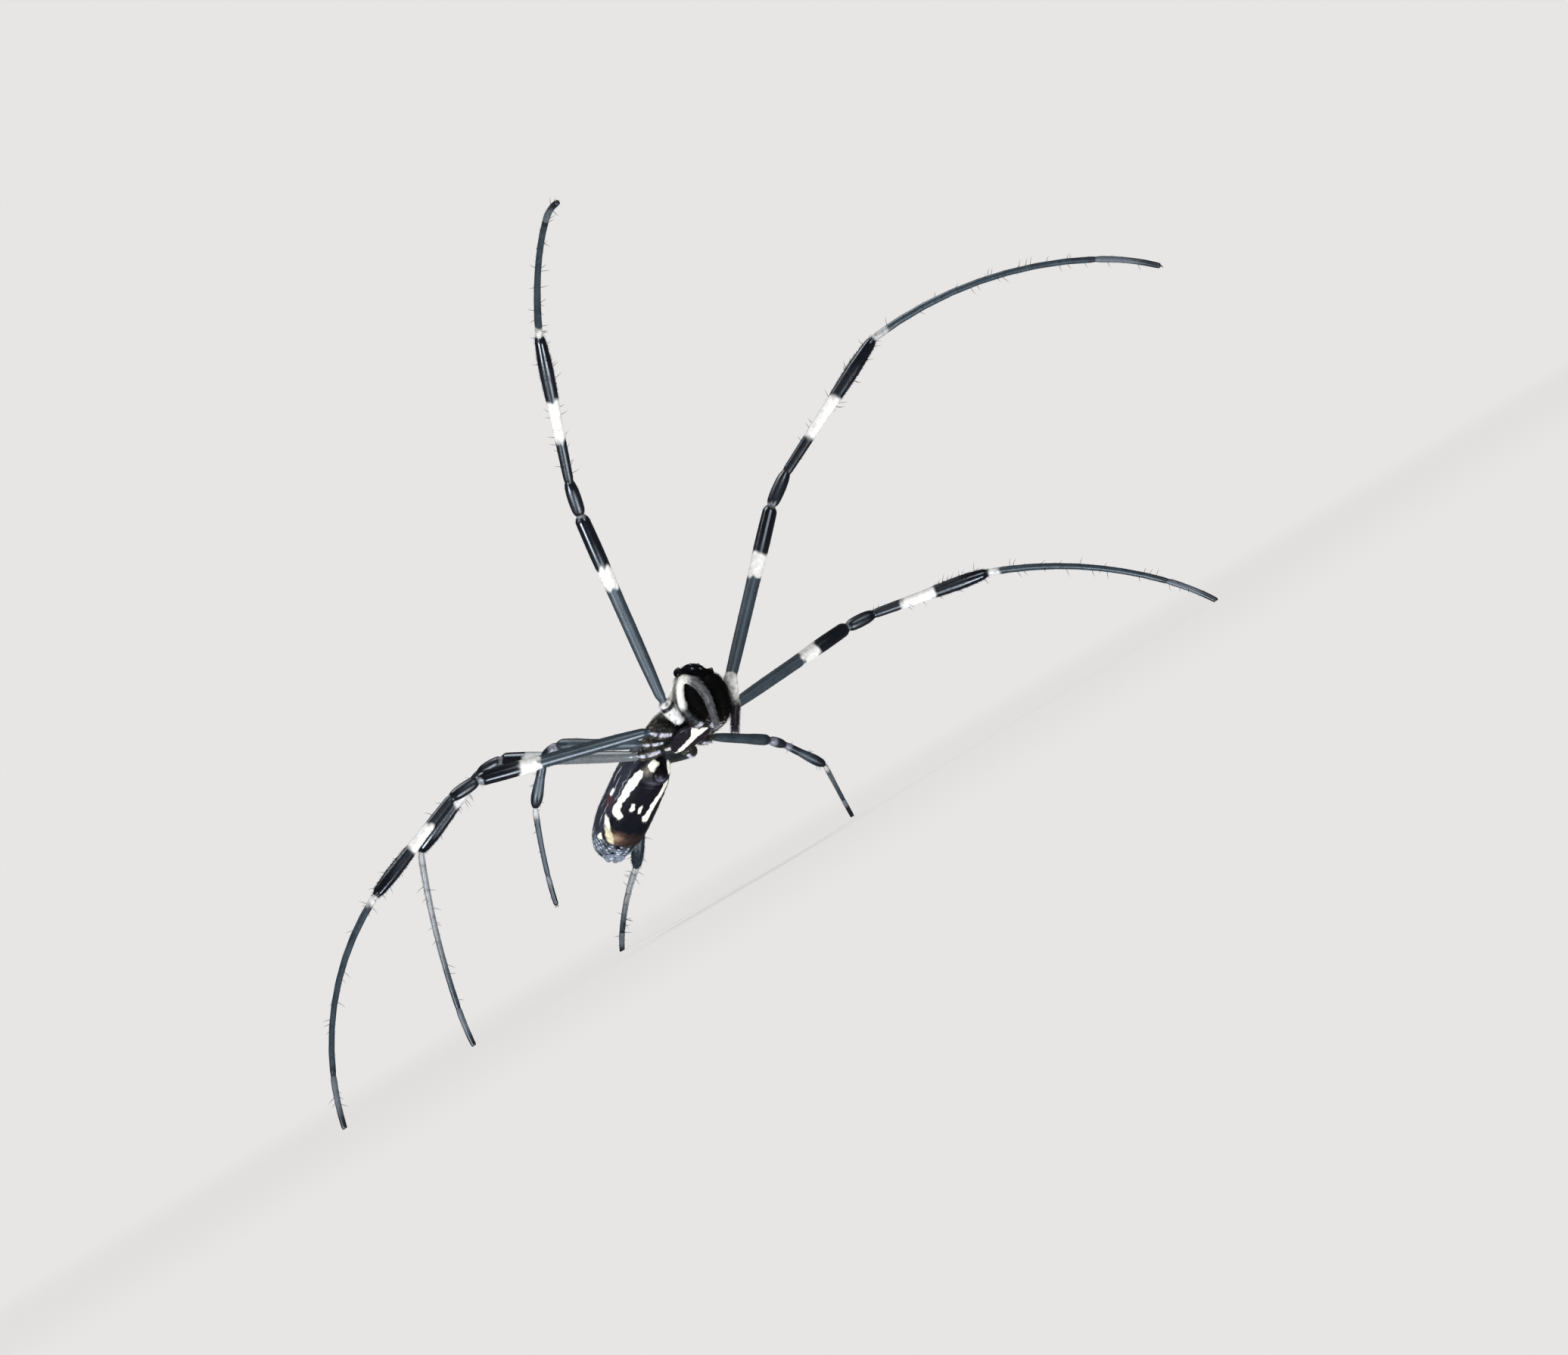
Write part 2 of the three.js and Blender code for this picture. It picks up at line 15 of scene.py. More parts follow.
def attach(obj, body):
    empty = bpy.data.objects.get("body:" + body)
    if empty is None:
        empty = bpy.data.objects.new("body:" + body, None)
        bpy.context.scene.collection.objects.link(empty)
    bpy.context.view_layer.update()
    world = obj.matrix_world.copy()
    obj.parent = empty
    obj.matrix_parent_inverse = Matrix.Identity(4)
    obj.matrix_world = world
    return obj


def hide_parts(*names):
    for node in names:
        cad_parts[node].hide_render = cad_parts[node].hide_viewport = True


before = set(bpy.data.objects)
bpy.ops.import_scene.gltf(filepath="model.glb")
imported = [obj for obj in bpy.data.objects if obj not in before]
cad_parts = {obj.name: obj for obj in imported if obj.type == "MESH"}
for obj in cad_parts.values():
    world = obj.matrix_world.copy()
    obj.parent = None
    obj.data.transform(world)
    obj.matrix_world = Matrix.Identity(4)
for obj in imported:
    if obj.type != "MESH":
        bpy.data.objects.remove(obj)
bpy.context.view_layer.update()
MM = 0.001
SEED = 417

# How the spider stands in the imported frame: the breastplate's middle and the turns of its body
PLACE = np.array([2.8565, 0.3031, 0.0])
BREAST_PLACE = PLACE + [-10.1, 0, 13.6]
BODY_TURN = (-44, 11, -25)
ABDOMEN_PLACE = np.array([-4.8, 0, 1.9])
ABDOMEN_TURN = (-4, 16, -14)

# The camera: level with the middle of the picture, turned about its own line of sight
CAMERA_HEIGHT = 14.0
CAMERA_DISTANCE = 800.0
CAMERA_ROLL = 31.0
FRAME_WIDTH = 138.13
SENSOR = 36.0

# Front body
SHIELD_X = [-4.2, -3.5, -2.3, -0.8, 0.8, 2.0, 3.1, 3.9, 4.3]
SHIELD_HALF = [0.9, 1.9, 2.6, 2.85, 2.65, 2.2, 2.1, 2.0, 1.75]
SHIELD_TOP = [2.3, 2.6, 2.9, 3.1, 3.4, 4.4, 5.15, 5.3, 5.0]
SHIELD_BOTTOM = [1.6, 1.6, 1.65, 1.7, 1.75, 1.85, 2.4, 3.6, 3.85]
SHIELD_EDGE = 0.3
SHIELD_POWER = 0.9
SHIELD_PIT_X = -0.9
BREAST_HALF = (2.3, 1.75)
JAW = [[4.0, 1.1, 4.0], [4.45, 1.02, 2.3], [4.55, 0.9, -0.4]]
JAW_RADII = [0.95, 1.05, 1.0, 0.72]
LOBE = [[2.5, 1.15, 0.35], [3.0, 0.85, -0.02], [3.65, 0.6, -0.1]]
FANG = [[4.66, 0.95, -0.2], [4.5, 0.82, -0.7], [4.0, 0.35, -0.75]]
FANG_RADII = [0.27, 0.24, 0.05]
EYE_RADIUS = 0.2
EYE_MOUND = {"place": [3.95, 0, 4.9], "radii": [0.52, 1.2, 0.56], "spread": 0.42, "rise": 0.24, "face": 0.34}
SIDE_MOUND = {"place": [3.85, 1.7, 4.6], "radii": [0.44, 0.42, 0.44], "spread": 0.2, "out": 0.19}
SKIN_CELL = 0.065
SKIN_ROUNDS = 3

# Feelers by side, left 1 and right -1: points, radii, joints, where the end's tone starts, and the tone
PALP_ROOT = [[3.05, 0.85, 0.0], [3.35, 1.55, 0.35], [3.75, 2.4, 1.2]]
PALP_BASE = 0.27
PALPS = {
    1: {
        "reach": [[4.8, 2.85, 3.5], [5.1, 2.8, 3.3], [4.75, 2.65, 1.4], [3.9, 2.15, -1.4]],
        "radii": [0.48, 0.4, 0.36, 0.48, 0.5, 0.37, 0.22],
        "joints": [0.1, 0.56, 0.66, 0.8],
        "end": (0.84, (0.020, 0.017, 0.025, 0.4)),
        "mottle": 0.6,
    },
    -1: {
        "reach": [[4.75, 2.75, 2.75], [5.5, 2.8, 2.9], [6.3, 2.35, 2.1], [6.6, 1.9, 0.4], [6.2, 1.6, -2.3]],
        "radii": [0.48, 0.42, 0.34, 0.31, 0.36, 0.25, 0.19, 0.14],
        "joints": [0.13, 0.5, 0.64, 0.82],
        "end": (0.65, (0.16, 0.165, 0.175, 0.42)),
        "mottle": 0.15,
    },
}

# Abdomen
ABDOMEN_LENGTH = 12.6
ABDOMEN_HALF = 2.42
ABDOMEN_BACK = 2.5
ABDOMEN_BELLY = 2.4
ABDOMEN_BLUNT = (3.2, 2.7)
SPINNERETS_AT = 0.92
SPINNERETS_LEAN = 35

# Legs by pair: inner end of the coxa and root of the femur on the left side, lengths of the five
# outer segments, and thickness
PAIRS = {
    1: ([1.95, 1.65, 0.65], [3.0, 3.8, 2.5], [18.4, 3.3, 14.3, 21.5, 5.8], 1),
    2: ([0.55, 1.8, 0.5], [1.0, 4.4, 2.0], [15.6, 2.8, 11.0, 16.5, 4.8], 0.97),
    3: ([-0.9, 1.7, 0.5], [-1.4, 4.0, 1.4], [8.2, 2.0, 4.9, 6.8, 2.9], 0.73),
    4: ([-2.15, 1.15, 0.5], [-3.6, 3.1, 1.0], [14.5, 2.6, 9.2, 14.5, 3.7], 0.95),
}
GIRTH_OF_R3 = 0.86
SEGMENTS = ["femur", "patella", "tibia", "metatarsus", "tarsus"]
COXA_GIRTHS = [0.54, 0.66, 0.7, 0.52]
# Direction in the body frame, the same for both sides, that the painted highlight streak on coxae 2 to 4
# faces: down, to the right and a little forward
COXA_SHEEN_SIDE = [0.35, -0.5, -0.8]
GIRTHS = [
    [0.44, 0.56, 0.59, 0.61, 0.69, 0.65],
    [0.5, 0.6, 0.6, 0.5],
    [0.43, 0.47, 0.49, 0.58, 0.62, 0.45],
    [0.34, 0.31, 0.28, 0.27, 0.28],
    [0.3, 0.28, 0.27, 0.27, 0.25],
]
JOINT_DEPTHS = [0.2, 0.3, 0.12, 0.3, 0.16]
KNEE_EASE = 0.5
ROOT_EASE = 0.8
BOW_STEPS = 8
CURL_STEPS = 4
BOW_EASE = 0.3
CORNER_STEPS = 8
FOOT_SINK = 0.05
FLOOR_GAP = 0.01
LEG_STEP = 0.12
LEG_SIDES = 26
# Each leg's azimuth and elevation of femur, tibia and metatarsus, the metatarsus's bow, the tarsus's
# curl, whether the leg stands, and how far its root lies from its pair's
POSES = {
    "r1": ([-68, 71], [-56, 57], [-74, 27], 15, 15, False, [0, 0, -0.2]),
    "r2": ([190, 15], [192, -21], [192, -25], 40, 11, True, [-0.6, 0, -1.35]),
    "r3": ([151, 27], [148, -44], [128, -54], 8, 8, False, [-0.3, 0.2, -0.75]),
    "r4": ([143, 24], [165, -21], [172, -65], 11, 8, True, [0, 0, -0.4]),
    "l1": ([25, 43], [2, 26], [-9, 6], 35, 16, False, [-0.25, -0.4, 0.15]),
    "l2": ([34, 3], [5, -11], [-14, -20], 26, 12, True, [0.2, 0, 0.4]),
    "l3": ([58, -20], [51, -45], [92, -28], 8, 8, True, [0, 0, -0.2]),
    "l4": ([106, 5], [139, -47], [109, -13], 10, 8, True, [0, 0, 0]),
}
# Start and end of the white band on the femur, then on the tibia, as shares of each
BANDS = {
    "r1": (0.617, 0.731, 0.30, 0.56),
    "l1": (0.626, 0.755, 0.267, 0.5625),
    "r2": (0.642, 0.766, 0.29, 0.54),
    "l2": (0.608, 0.737, 0.253, 0.527),
    "r4": (0.658, 0.816, 0.2, 0.41),
    "l4": (0.65, 0.79, 0.28, 0.52),
}

# Tones
SLATE = (0.016, 0.024, 0.032, 0.46)
BLACK = (0.0025, 0.0030, 0.0052, 0.36)
SOOT = (0.0022, 0.0018, 0.0018, 0.6)
WHITE = (0.52, 0.52, 0.505, 0.5)
CREAM = (0.64, 0.65, 0.575, 0.45)
PURPLE = (0.0065, 0.0048, 0.0075, 0.28)
OLIVE = (0.026, 0.024, 0.017, 0.34)
LAVENDER = (0.35, 0.36, 0.42, 0.3)
DULL_LAVENDER = (0.10, 0.10, 0.125, 0.4)
KNEE_SKIN = (0.10, 0.10, 0.11, 0.42)
FOOT_GREY = (0.085, 0.095, 0.11, 0.42)
PALE_SHIN = (0.27, 0.28, 0.29, 0.4)
GREY_LINE = (0.30, 0.31, 0.33, 0.5)
SPINE_BLACK = (0.003, 0.003, 0.0045, 0.5)
EYE_BLACK = (0.004, 0.004, 0.005, 0.08)
FANG_TONES = (0.008, 0.005, 0.005, 0.16), (0.018, 0.007, 0.005, 0.16)
BLUE_GLOSS = (0.76, 0.88, 1.0)


# Numbers

def unit(vectors):
    return vectors / np.maximum(np.linalg.norm(vectors, axis=-1, keepdims=True), 1e-12)


def mirrored(points, side):
    return np.asarray(points, float) * [1, side, 1]


def full_turn(count):
    return 2 * math.pi * np.arange(count) / count


def rotation(angle, axis):
    """Turn by an angle about X, Y or Z, given by its number."""
    i, j = (axis + 1) % 3, (axis + 2) % 3
    matrix = np.eye(3)
    matrix[i, i] = matrix[j, j] = np.cos(angle)
    matrix[j, i] = np.sin(angle)
    matrix[i, j] = -np.sin(angle)
    return matrix


def turn(heading, pitch, roll):
    """Rotation that faces heading, nose up by pitch and right side down by roll, in degrees."""
    heading, pitch, roll = np.radians([heading, -pitch, roll])
    return rotation(heading, 2) @ rotation(pitch, 1) @ rotation(roll, 0)


BODY = turn(*BODY_TURN)
ABDOMEN = turn(*ABDOMEN_TURN)


def from_body(points):
    return np.asarray(points, float) @ BODY.T + BREAST_PLACE


def from_abdomen(points):
    return from_body(np.asarray(points, float) @ ABDOMEN.T + ABDOMEN_PLACE)


def smooth(x, xs, ys):
    """Smooth values at x through the points (xs, ys)."""
    xs, ys = np.asarray(xs, float), np.asarray(ys, float)
    slopes = np.gradient(ys, xs)
    i = np.clip(np.searchsorted(xs, x) - 1, 0, len(xs) - 2)
    span = xs[i + 1] - xs[i]
    t = np.clip((x - xs[i]) / span, 0, 1)
    bend = (1 - t) * slopes[i] * span * t * (1 - t) - t * slopes[i + 1] * span * t * (1 - t)
    return ys[i] + (ys[i + 1] - ys[i]) * t * t * (3 - 2 * t) + bend


def even(share, values):
    return smooth(share, np.linspace(0, 1, len(values)), values)


def step(x, edge, soft):
    """0 below the edge and 1 above it, eased over soft to both sides."""
    t = np.clip((x - edge + soft) / (2 * soft), 0, 1)
    return t * t * (3 - 2 * t)


def fall(x, edge, soft):
    """1 below the edge and 0 above it, eased likewise."""
    return 1 - step(x, edge, soft)


def between(x, low, high, soft):
    return step(x, low, soft) * fall(x, high, soft)


def bell(x):
    return np.exp(-(x**2))


def ripple(points, size, seed, waves=7):
    """Soft irregular noise of about -1 to 1 with lumps of the given size."""
    draw = np.random.default_rng(seed)
    total = np.zeros(len(points))
    for _ in range(waves):
        direction = unit(draw.normal(size=3)) * draw.uniform(0.6, 1.6) * 2 * math.pi / size
        total += np.sin(points @ direction + draw.uniform(0, 2 * math.pi))
    return total / math.sqrt(waves)


def mix(tones, colour, share):
    """Blends one tone, or a tone for each point, over the tones."""
    share = np.asarray(share, float)[..., None]
    return np.asarray(tones, float) * (1 - share) + np.asarray(colour, float) * share


def layered(tones, layers):
    """Blends layers, each a tone and its share, over the tones in turn."""
    for colour, share in layers:
        tones = mix(tones, colour, share)
    return tones


def varied(tone, points, amount, size, seed):
    """One tone at each point, lighter and darker by soft noise."""
    tones = np.tile(np.array(tone, float), (len(points), 1))
    tones[:, :3] *= (1 + amount * ripple(points, size, seed))[:, None]
    return tones


# Surfaces

def loft(rings):
    """Closed surface through rings of points, as points, quads and triangles."""
    count, sides = rings.shape[:2]
    points = np.concatenate([rings.reshape(-1, 3), rings[0].mean(0)[None], rings[-1].mean(0)[None]])
    j = np.arange(sides)
    k = (j + 1) % sides
    starts = np.arange(count - 1)[:, None] * sides
    a, b = (starts + j).ravel(), (starts + k).ravel()
    quads = np.stack([a, b, b + sides, a + sides], -1)
    last = (count - 1) * sides
    first_cap = np.stack([np.full(sides, count * sides), k, j], -1)
    last_cap = np.stack([np.full(sides, count * sides + 1), last + j, last + k], -1)
    return points, quads, np.concatenate([first_cap, last_cap])


def frames_along(centres):
    """Tangents, and two normals carried along without twisting."""
    tangents = unit(np.gradient(centres, axis=0))
    normal = np.array([0, 0, 1.0]) if abs(tangents[0, 2]) < 0.8 else np.array([0, 1.0, 0])
    normals = np.empty_like(tangents)
    for i, tangent in enumerate(tangents):
        normal = unit(normal - normal.dot(tangent) * tangent)
        normals[i] = normal
    return tangents, normals, np.cross(tangents, normals)


def tube(centres, radii, sides):
    """Rings round a line of centres, with the unit arms to their points and the line's tangents."""
    tangents, normals, across = frames_along(centres)
    angles = full_turn(sides)
    arms = normals[:, None] * np.cos(angles)[:, None] + across[:, None] * np.sin(angles)[:, None]
    return centres[:, None] + arms * radii[:, None, None], arms, tangents


def curve_through(points, shares):
    """Centripetal curve through the points, at shares of its parameter."""
    points = np.asarray(points, float)
    ends = [2 * points[0] - points[1], 2 * points[-1] - points[-2]]
    points = np.concatenate([ends[:1], points, ends[1:]])
    place = np.clip(shares, 0, 1) * (len(points) - 3)
    i = np.minimum(place.astype(int), len(points) - 4)
    t = (place - i)[:, None]
    p = [points[i + k] for k in range(4)]
    gaps = [np.linalg.norm(p[k + 1] - p[k], axis=1)[:, None] for k in range(3)]
    a, b, c = [np.maximum(gap, 1e-6) ** 0.5 for gap in gaps]
    start = ((p[1] - p[0]) / a - (p[2] - p[0]) / (a + b) + (p[2] - p[1]) / b) * b
    end = ((p[2] - p[1]) / b - (p[3] - p[1]) / (b + c) + (p[3] - p[2]) / c) * b
    rise = p[2] - p[1]
    return p[1] + start * t + (3 * rise - 2 * start - end) * t**2 + (start + end - 2 * rise) * t**3


def limb(points, radii, steps, sides, joints=(), depth=0.16, width=0.14):
    """Rounded limb through a few points, narrowed at its joints, and the share along it at each point."""
    shares = (1 - np.cos(np.linspace(0, math.pi, steps + 1))) / 2
    centres = curve_through(points, shares)
    length = np.linalg.norm(np.diff(centres, axis=0), axis=1).sum()
    radius = even(shares, radii)
    edge = np.minimum(shares, 1 - shares) * length / radius
    radius = radius * np.sqrt(np.maximum(0.004, 1 - (1 - np.minimum(1, edge)) ** 2))
    for joint in joints:
        radius = radius * (1 - depth * bell((shares - joint) * length / width))
    return loft(tube(centres, radius, sides)[0]), np.append(np.repeat(shares, sides), [0, 1])


def ellipsoid(place, radii, steps=20, sides=28):
    polar = np.linspace(0.06, math.pi - 0.06, steps)[:, None]
    angle = full_turn(sides)
    along = np.cos(polar) * np.ones(sides)
    rings = np.stack([along, np.sin(polar) * np.cos(angle), np.sin(polar) * np.sin(angle)], -1)
    return loft(rings[::-1] * radii + place)


# Pieces

class Form:
    """Closed surfaces gathered for one piece, each point with a tone and the kind of part it is on."""

    def __init__(self):
        self.parts = []
        self.count = 0

    def add(self, surface, tone, kind=0):
        points, quads, tris = surface
        tones = np.broadcast_to(np.asarray(tone, float), (len(points), 4))
        kinds = np.full(len(points), kind)
        self.parts.append((points, quads + self.count, tris + self.count, tones, kinds))
        self.count += len(points)

    def merged(self):
        return [np.concatenate(part) for part in zip(*self.parts)]

    def make(self, name, place, material, replaced=()):
        """Makes one piece of it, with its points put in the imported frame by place."""
        points, quads, tris, tones, _ = self.merged()
        make_piece(name, (place(points), quads, tris), tones, material, replaced)


def corners_of(quads, tris):
    return np.concatenate([quads.ravel(), tris.ravel()]).astype(np.int32)


def mesh_of(name, points, quads, tris):
    mesh = bpy.data.meshes.new(name)
    corners = corners_of(quads, tris)
    starts = np.concatenate([np.arange(len(quads)) * 4, len(quads) * 4 + np.arange(len(tris)) * 3])
    mesh.vertices.add(len(points))
    mesh.vertices.foreach_set("co", points.astype(np.float32).ravel())
    mesh.loops.add(len(corners))
    mesh.loops.foreach_set("vertex_index", corners)
    mesh.polygons.add(len(starts))
    mesh.polygons.foreach_set("loop_start", starts.astype(np.int32))
    mesh.update(calc_edges=True)
    mesh.shade_smooth()
    return mesh


def linked(name, data):
    item = bpy.data.objects.new(name, data)
    bpy.context.scene.collection.objects.link(item)
    return item


def make_piece(name, surface, tones, material, replaced=(), spots=None, patch=None):
    """Makes one piece of the spider from millimetres, riding on the body.

    spots are the points' places on the unwrap, and patch is a second material and the faces that wear it.
    """
    points, quads, tris = surface
    mesh = mesh_of(name, points * MM, quads, tris)
    layer = mesh.color_attributes.new("tone", "FLOAT_COLOR", "POINT")
    layer.data.foreach_set("color", tones.astype(np.float32).ravel())
    if spots is not None:
        unwrap = mesh.uv_layers.new(name="OFBake")
        unwrap.data.foreach_set("uv", spots[corners_of(quads, tris)].astype(np.float32).ravel())
    mesh.materials.append(material)
    if patch is not None:
        mesh.materials.append(patch[0])
        mesh.polygons.foreach_set("material_index", patch[1].astype(np.int32))
    piece = linked(name, mesh)
    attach(piece, "root")
    if replaced:
        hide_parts(*replaced)


def read(items, key, kind=np.float32, width=1):
    values = np.empty(len(items) * width, kind)
    items.foreach_get(key, values)
    return values


def fused(form):
    """One closed skin round all of a form's surfaces, with the nearest tone and kind at each point."""
    points, quads, tris, tones, kinds = form.merged()
    helper = linked("helper", mesh_of("helper", points, quads, tris))
    remesh = helper.modifiers.new("remesh", "REMESH")
    remesh.mode = "VOXEL"
    remesh.voxel_size = SKIN_CELL
    helper.modifiers.new("relax", "SMOOTH").iterations = SKIN_ROUNDS
    mesh = bpy.data.meshes.new_from_object(helper.evaluated_get(bpy.context.evaluated_depsgraph_get()))
    skin = read(mesh.vertices, "co", width=3).reshape(-1, 3).astype(float)
    normals = read(mesh.vertices, "normal", width=3).reshape(-1, 3)
    faces = read(mesh.loops, "vertex_index", np.int32).reshape(-1, 4)
    bpy.data.objects.remove(helper)
    tree = kdtree.KDTree(len(points))
    for i, point in enumerate(points):
        tree.insert(point, i)
    tree.balance()
    nearest = np.array([tree.find(point)[1] for point in skin])
    return (skin, faces, np.empty((0, 3), int)), normals, tones[nearest], kinds[nearest]


# Materials

def fill(node, values):
    for key, value in values.items():
        node.inputs[key].default_value = value
    return node


def add_node(tree, kind, values=None, **settings):
    """New shader node with its settings, and the values of its inputs."""
    node = tree.nodes.new("ShaderNode" + kind)
    for key, value in settings.items():
        setattr(node, key, value)
    return fill(node, values or {})


def connect(tree, links):
    """Links nodes, each link given as a node, its output, the next node and its input."""
    for start, output, end, entry in links:
        tree.links.new(start.outputs[output], end.inputs[entry])


def new_material(name, values):
    """New material, its node tree and its shader with the given values."""
    material = bpy.data.materials.new(name)
    material.use_nodes = True
    tree = material.node_tree
    return material, tree, fill(tree.nodes["Principled BSDF"], values)


def cuticle(name, grain, bump, gloss, mottle, tint=(1.0, 1.0, 1.0)):
    """Cuticle whose tone is on the surface, with fine grain, faint mottling and a tinted gloss."""
    values = {"Specular IOR Level": gloss, "Specular Tint": (*tint, 1), "IOR": 1.5}
    material, tree, shader = new_material(name, values)
    tone = add_node(tree, "Attribute", attribute_name="tone")
    place = add_node(tree, "TexCoord")
    patches = add_node(tree, "TexNoise", {"Scale": grain * 0.18, "Detail": 5})
    fine = add_node(tree, "TexNoise", {"Scale": grain, "Detail": 3})
    limits = {"From Min": 0.3, "From Max": 0.7, "To Min": 1 - mottle, "To Max": 1 + mottle}
    shade = add_node(tree, "MapRange", limits)
    scaled = add_node(tree, "VectorMath", operation="SCALE")
    rough = add_node(tree, "Math", {1: 0.16}, operation="MULTIPLY_ADD")
    lift = add_node(tree, "Math", {1: 0.08}, operation="SUBTRACT")
    bumps = add_node(tree, "Bump", {"Strength": bump, "Distance": 0.02 * MM})
    links = [
        (place, "Object", patches, "Vector"),
        (place, "Object", fine, "Vector"),
        (patches, "Fac", shade, "Value"),
        (tone, "Color", scaled, 0),
        (shade, "Result", scaled, "Scale"),
        (scaled, "Vector", shader, "Base Color"),
        (tone, "Alpha", lift, 0),
        (patches, "Fac", rough, 0),
        (lift, "Value", rough, 2),
        (rough, "Value", shader, "Roughness"),
        (fine, "Fac", bumps, "Height"),
        (bumps, "Normal", shader, "Normal"),
    ]
    connect(tree, links)
    return material


def lens(name):
    """Clear black eye with a thin wet coat."""
    material = cuticle(name, 9000, 0.05, 0.5, 0.1)
    fill(material.node_tree.nodes["Principled BSDF"], {"Coat Weight": 1.0, "Coat Roughness": 0.03})
    return material


LEG_CUTICLE = cuticle("leg_cuticle", 16000, 0.16, 0.6, 0.16, BLUE_GLOSS)
BODY_CUTICLE = cuticle("body_cuticle", 13000, 0.4, 0.3, 0.18, BLUE_GLOSS)
JAW_CUTICLE = cuticle("jaw_cuticle", 9000, 0.7, 0.05, 0.3)
ABDOMEN_CUTICLE = cuticle("abdomen_cuticle", 11000, 0.5, 0.09, 0.2, BLUE_GLOSS)
HAIR = cuticle("hair", 9000, 0.1, 0.04, 0.25)
EYE = lens("eye_lens")


# Hairs

# Hairs that leave the skin more steeply than this stay nearly straight
STEEP = math.radians(50)
HAIR_SINK = 0.04
HAIR_POINTS = 7
# Radius in mm of the legs' fine hairs, which take the leg's tones
FINE_HAIR = 0.007
# A little over a full turn, so that an angle's share of it stays below 1
WIDE_TURN = 6.3


def tuft(draw, roots, outs, lies, lengths, radius, lifts, tones, spots, stretch=1):
    """Hairs of one sort, with lengths in mm and lifts in degrees drawn between the two given.

    outs are the skin's normals, lies the directions that the hairs lie along, lifts the angles at
    which they leave the skin, and spots their roots on the skin's unwrap.
    """
    count = len(roots)
    sizes = draw.uniform(*lengths, count) * stretch
    return roots, outs, lies, sizes, np.full(count, radius), draw.uniform(*lifts, count), tones, spots


def coat(name, tufts):
    """One mesh of fine bent hairs, closed at the root and drawn out to a point."""
    roots, outs, lies, lengths, radii, lifts, tones, spots = [np.concatenate(part) for part in zip(*tufts)]
    lifts = np.radians(lifts)[:, None]
    later = lifts * np.where(lifts > STEEP, 0.88, 0.45)
    lies = unit(lies - (lies * outs).sum(1, keepdims=True) * outs)
    first = np.cos(lifts) * lies + np.sin(lifts) * outs
    second = np.cos(later) * lies + np.sin(later) * outs
    side = np.cross(lies, outs)
    base = roots - outs * HAIR_SINK
    middle = base + first * (lengths * 0.5)[:, None]
    tip = middle + second * (lengths * 0.5)[:, None]
    rings = []
    for centre, direction, share in ((base, first, 1.0), (middle, second, 0.72)):
        up = np.cross(side, direction)
        for angle in full_turn(3):
            arm = side * math.cos(angle) + up * math.sin(angle)
            rings.append(centre + arm * (radii * share)[:, None])
    points = np.stack(rings + [tip], 1).reshape(-1, 3)
    start = np.arange(len(roots))[:, None] * HAIR_POINTS
    quads = np.concatenate([start + [j, (j + 1) % 3, 3 + (j + 1) % 3, 3 + j] for j in range(3)])
    tris = [start + [3 + j, 3 + (j + 1) % 3, 6] for j in range(3)]
    tris = np.concatenate(tris + [start + [2, 1, 0]])
    patch = np.array([[0, 0], [0.5, 0], [1, 0], [0, 0.5], [0.5, 0.5], [1, 0.5], [0.5, 1]]) * 0.003
    spots = (np.clip(spots, 0, 0.997)[:, None] + patch).reshape(-1, 2)
    make_piece(name, (points, quads, tris), np.repeat(tones, HAIR_POINTS, 0), HAIR, (), spots)


# Legs

def side_of(name):
    return 1 if name[0] == "l" else -1


def plan_of(name):
    """Inner end of a leg's coxa and root of its femur, its segments' lengths and its thickness."""
    coxa, root, lengths, girth = PAIRS[int(name[1])]
    side = side_of(name)
    return mirrored(coxa, side), mirrored(root, side) + POSES[name][6], lengths, girth


def stands(name):
    return POSES[name][5]


def bearing(angles):
    azimuth, elevation = np.radians(angles)
    level = math.cos(elevation)
    return np.array([level * math.cos(azimuth), level * math.sin(azimuth), math.sin(elevation)])


def leg_points(root, lengths, pose, start):
    """Joints of a leg from the root of the femur to the claws, bow and curl included."""
    femur, tibia, (azimuth, _), bow, curl = pose[:5]
    runs = [(femur, lengths[0]), (np.mean([femur, tibia], 0), lengths[1]), (tibia, lengths[2])]
    for i in range(BOW_STEPS):
        runs.append(([azimuth, start - bow * (i + 0.5) / BOW_STEPS], lengths[3] / BOW_STEPS))
    for i in range(CURL_STEPS):
        runs.append(([azimuth, start - bow - curl * (i + 0.5) / CURL_STEPS], lengths[4] / CURL_STEPS))
    points = [root]
    for angles, length in runs:
        points.append(points[-1] + bearing(angles) * length)
    return points


def solved_start(root, lengths, pose):
    """Start elevation of the metatarsus that brings a standing leg's claws to the floor."""
    low, high = pose[2][1] - 25, pose[2][1] + 25
    for _ in range(40):
        middle = (low + high) / 2
        if leg_points(root, lengths, pose, middle)[-1][2] > -FOOT_SINK:
            high = middle
        else:
            low = middle
    return (low + high) / 2


def eased_path(points, eases):
    """Dense points along straight runs with eased corners, and the lengths at which the corners lie."""
    line = [points[0]]
    marks = []
    for i in range(1, len(points) - 1):
        before = points[i] + unit(points[i - 1] - points[i]) * eases[i]
        after = points[i] + unit(points[i + 1] - points[i]) * eases[i]
        marks.append((len(line), len(line) + CORNER_STEPS))
        for t in np.linspace(0, 1, CORNER_STEPS + 1):
            line.append((1 - t) ** 2 * before + 2 * t * (1 - t) * points[i] + t**2 * after)
    line = np.array(line + [points[-1]])
    lengths = np.append(0, np.cumsum(np.linalg.norm(np.diff(line, axis=0), axis=1)))
    corners = [(lengths[a] + lengths[b]) / 2 for a, b in marks] + [lengths[-1]]
    return line, lengths, corners


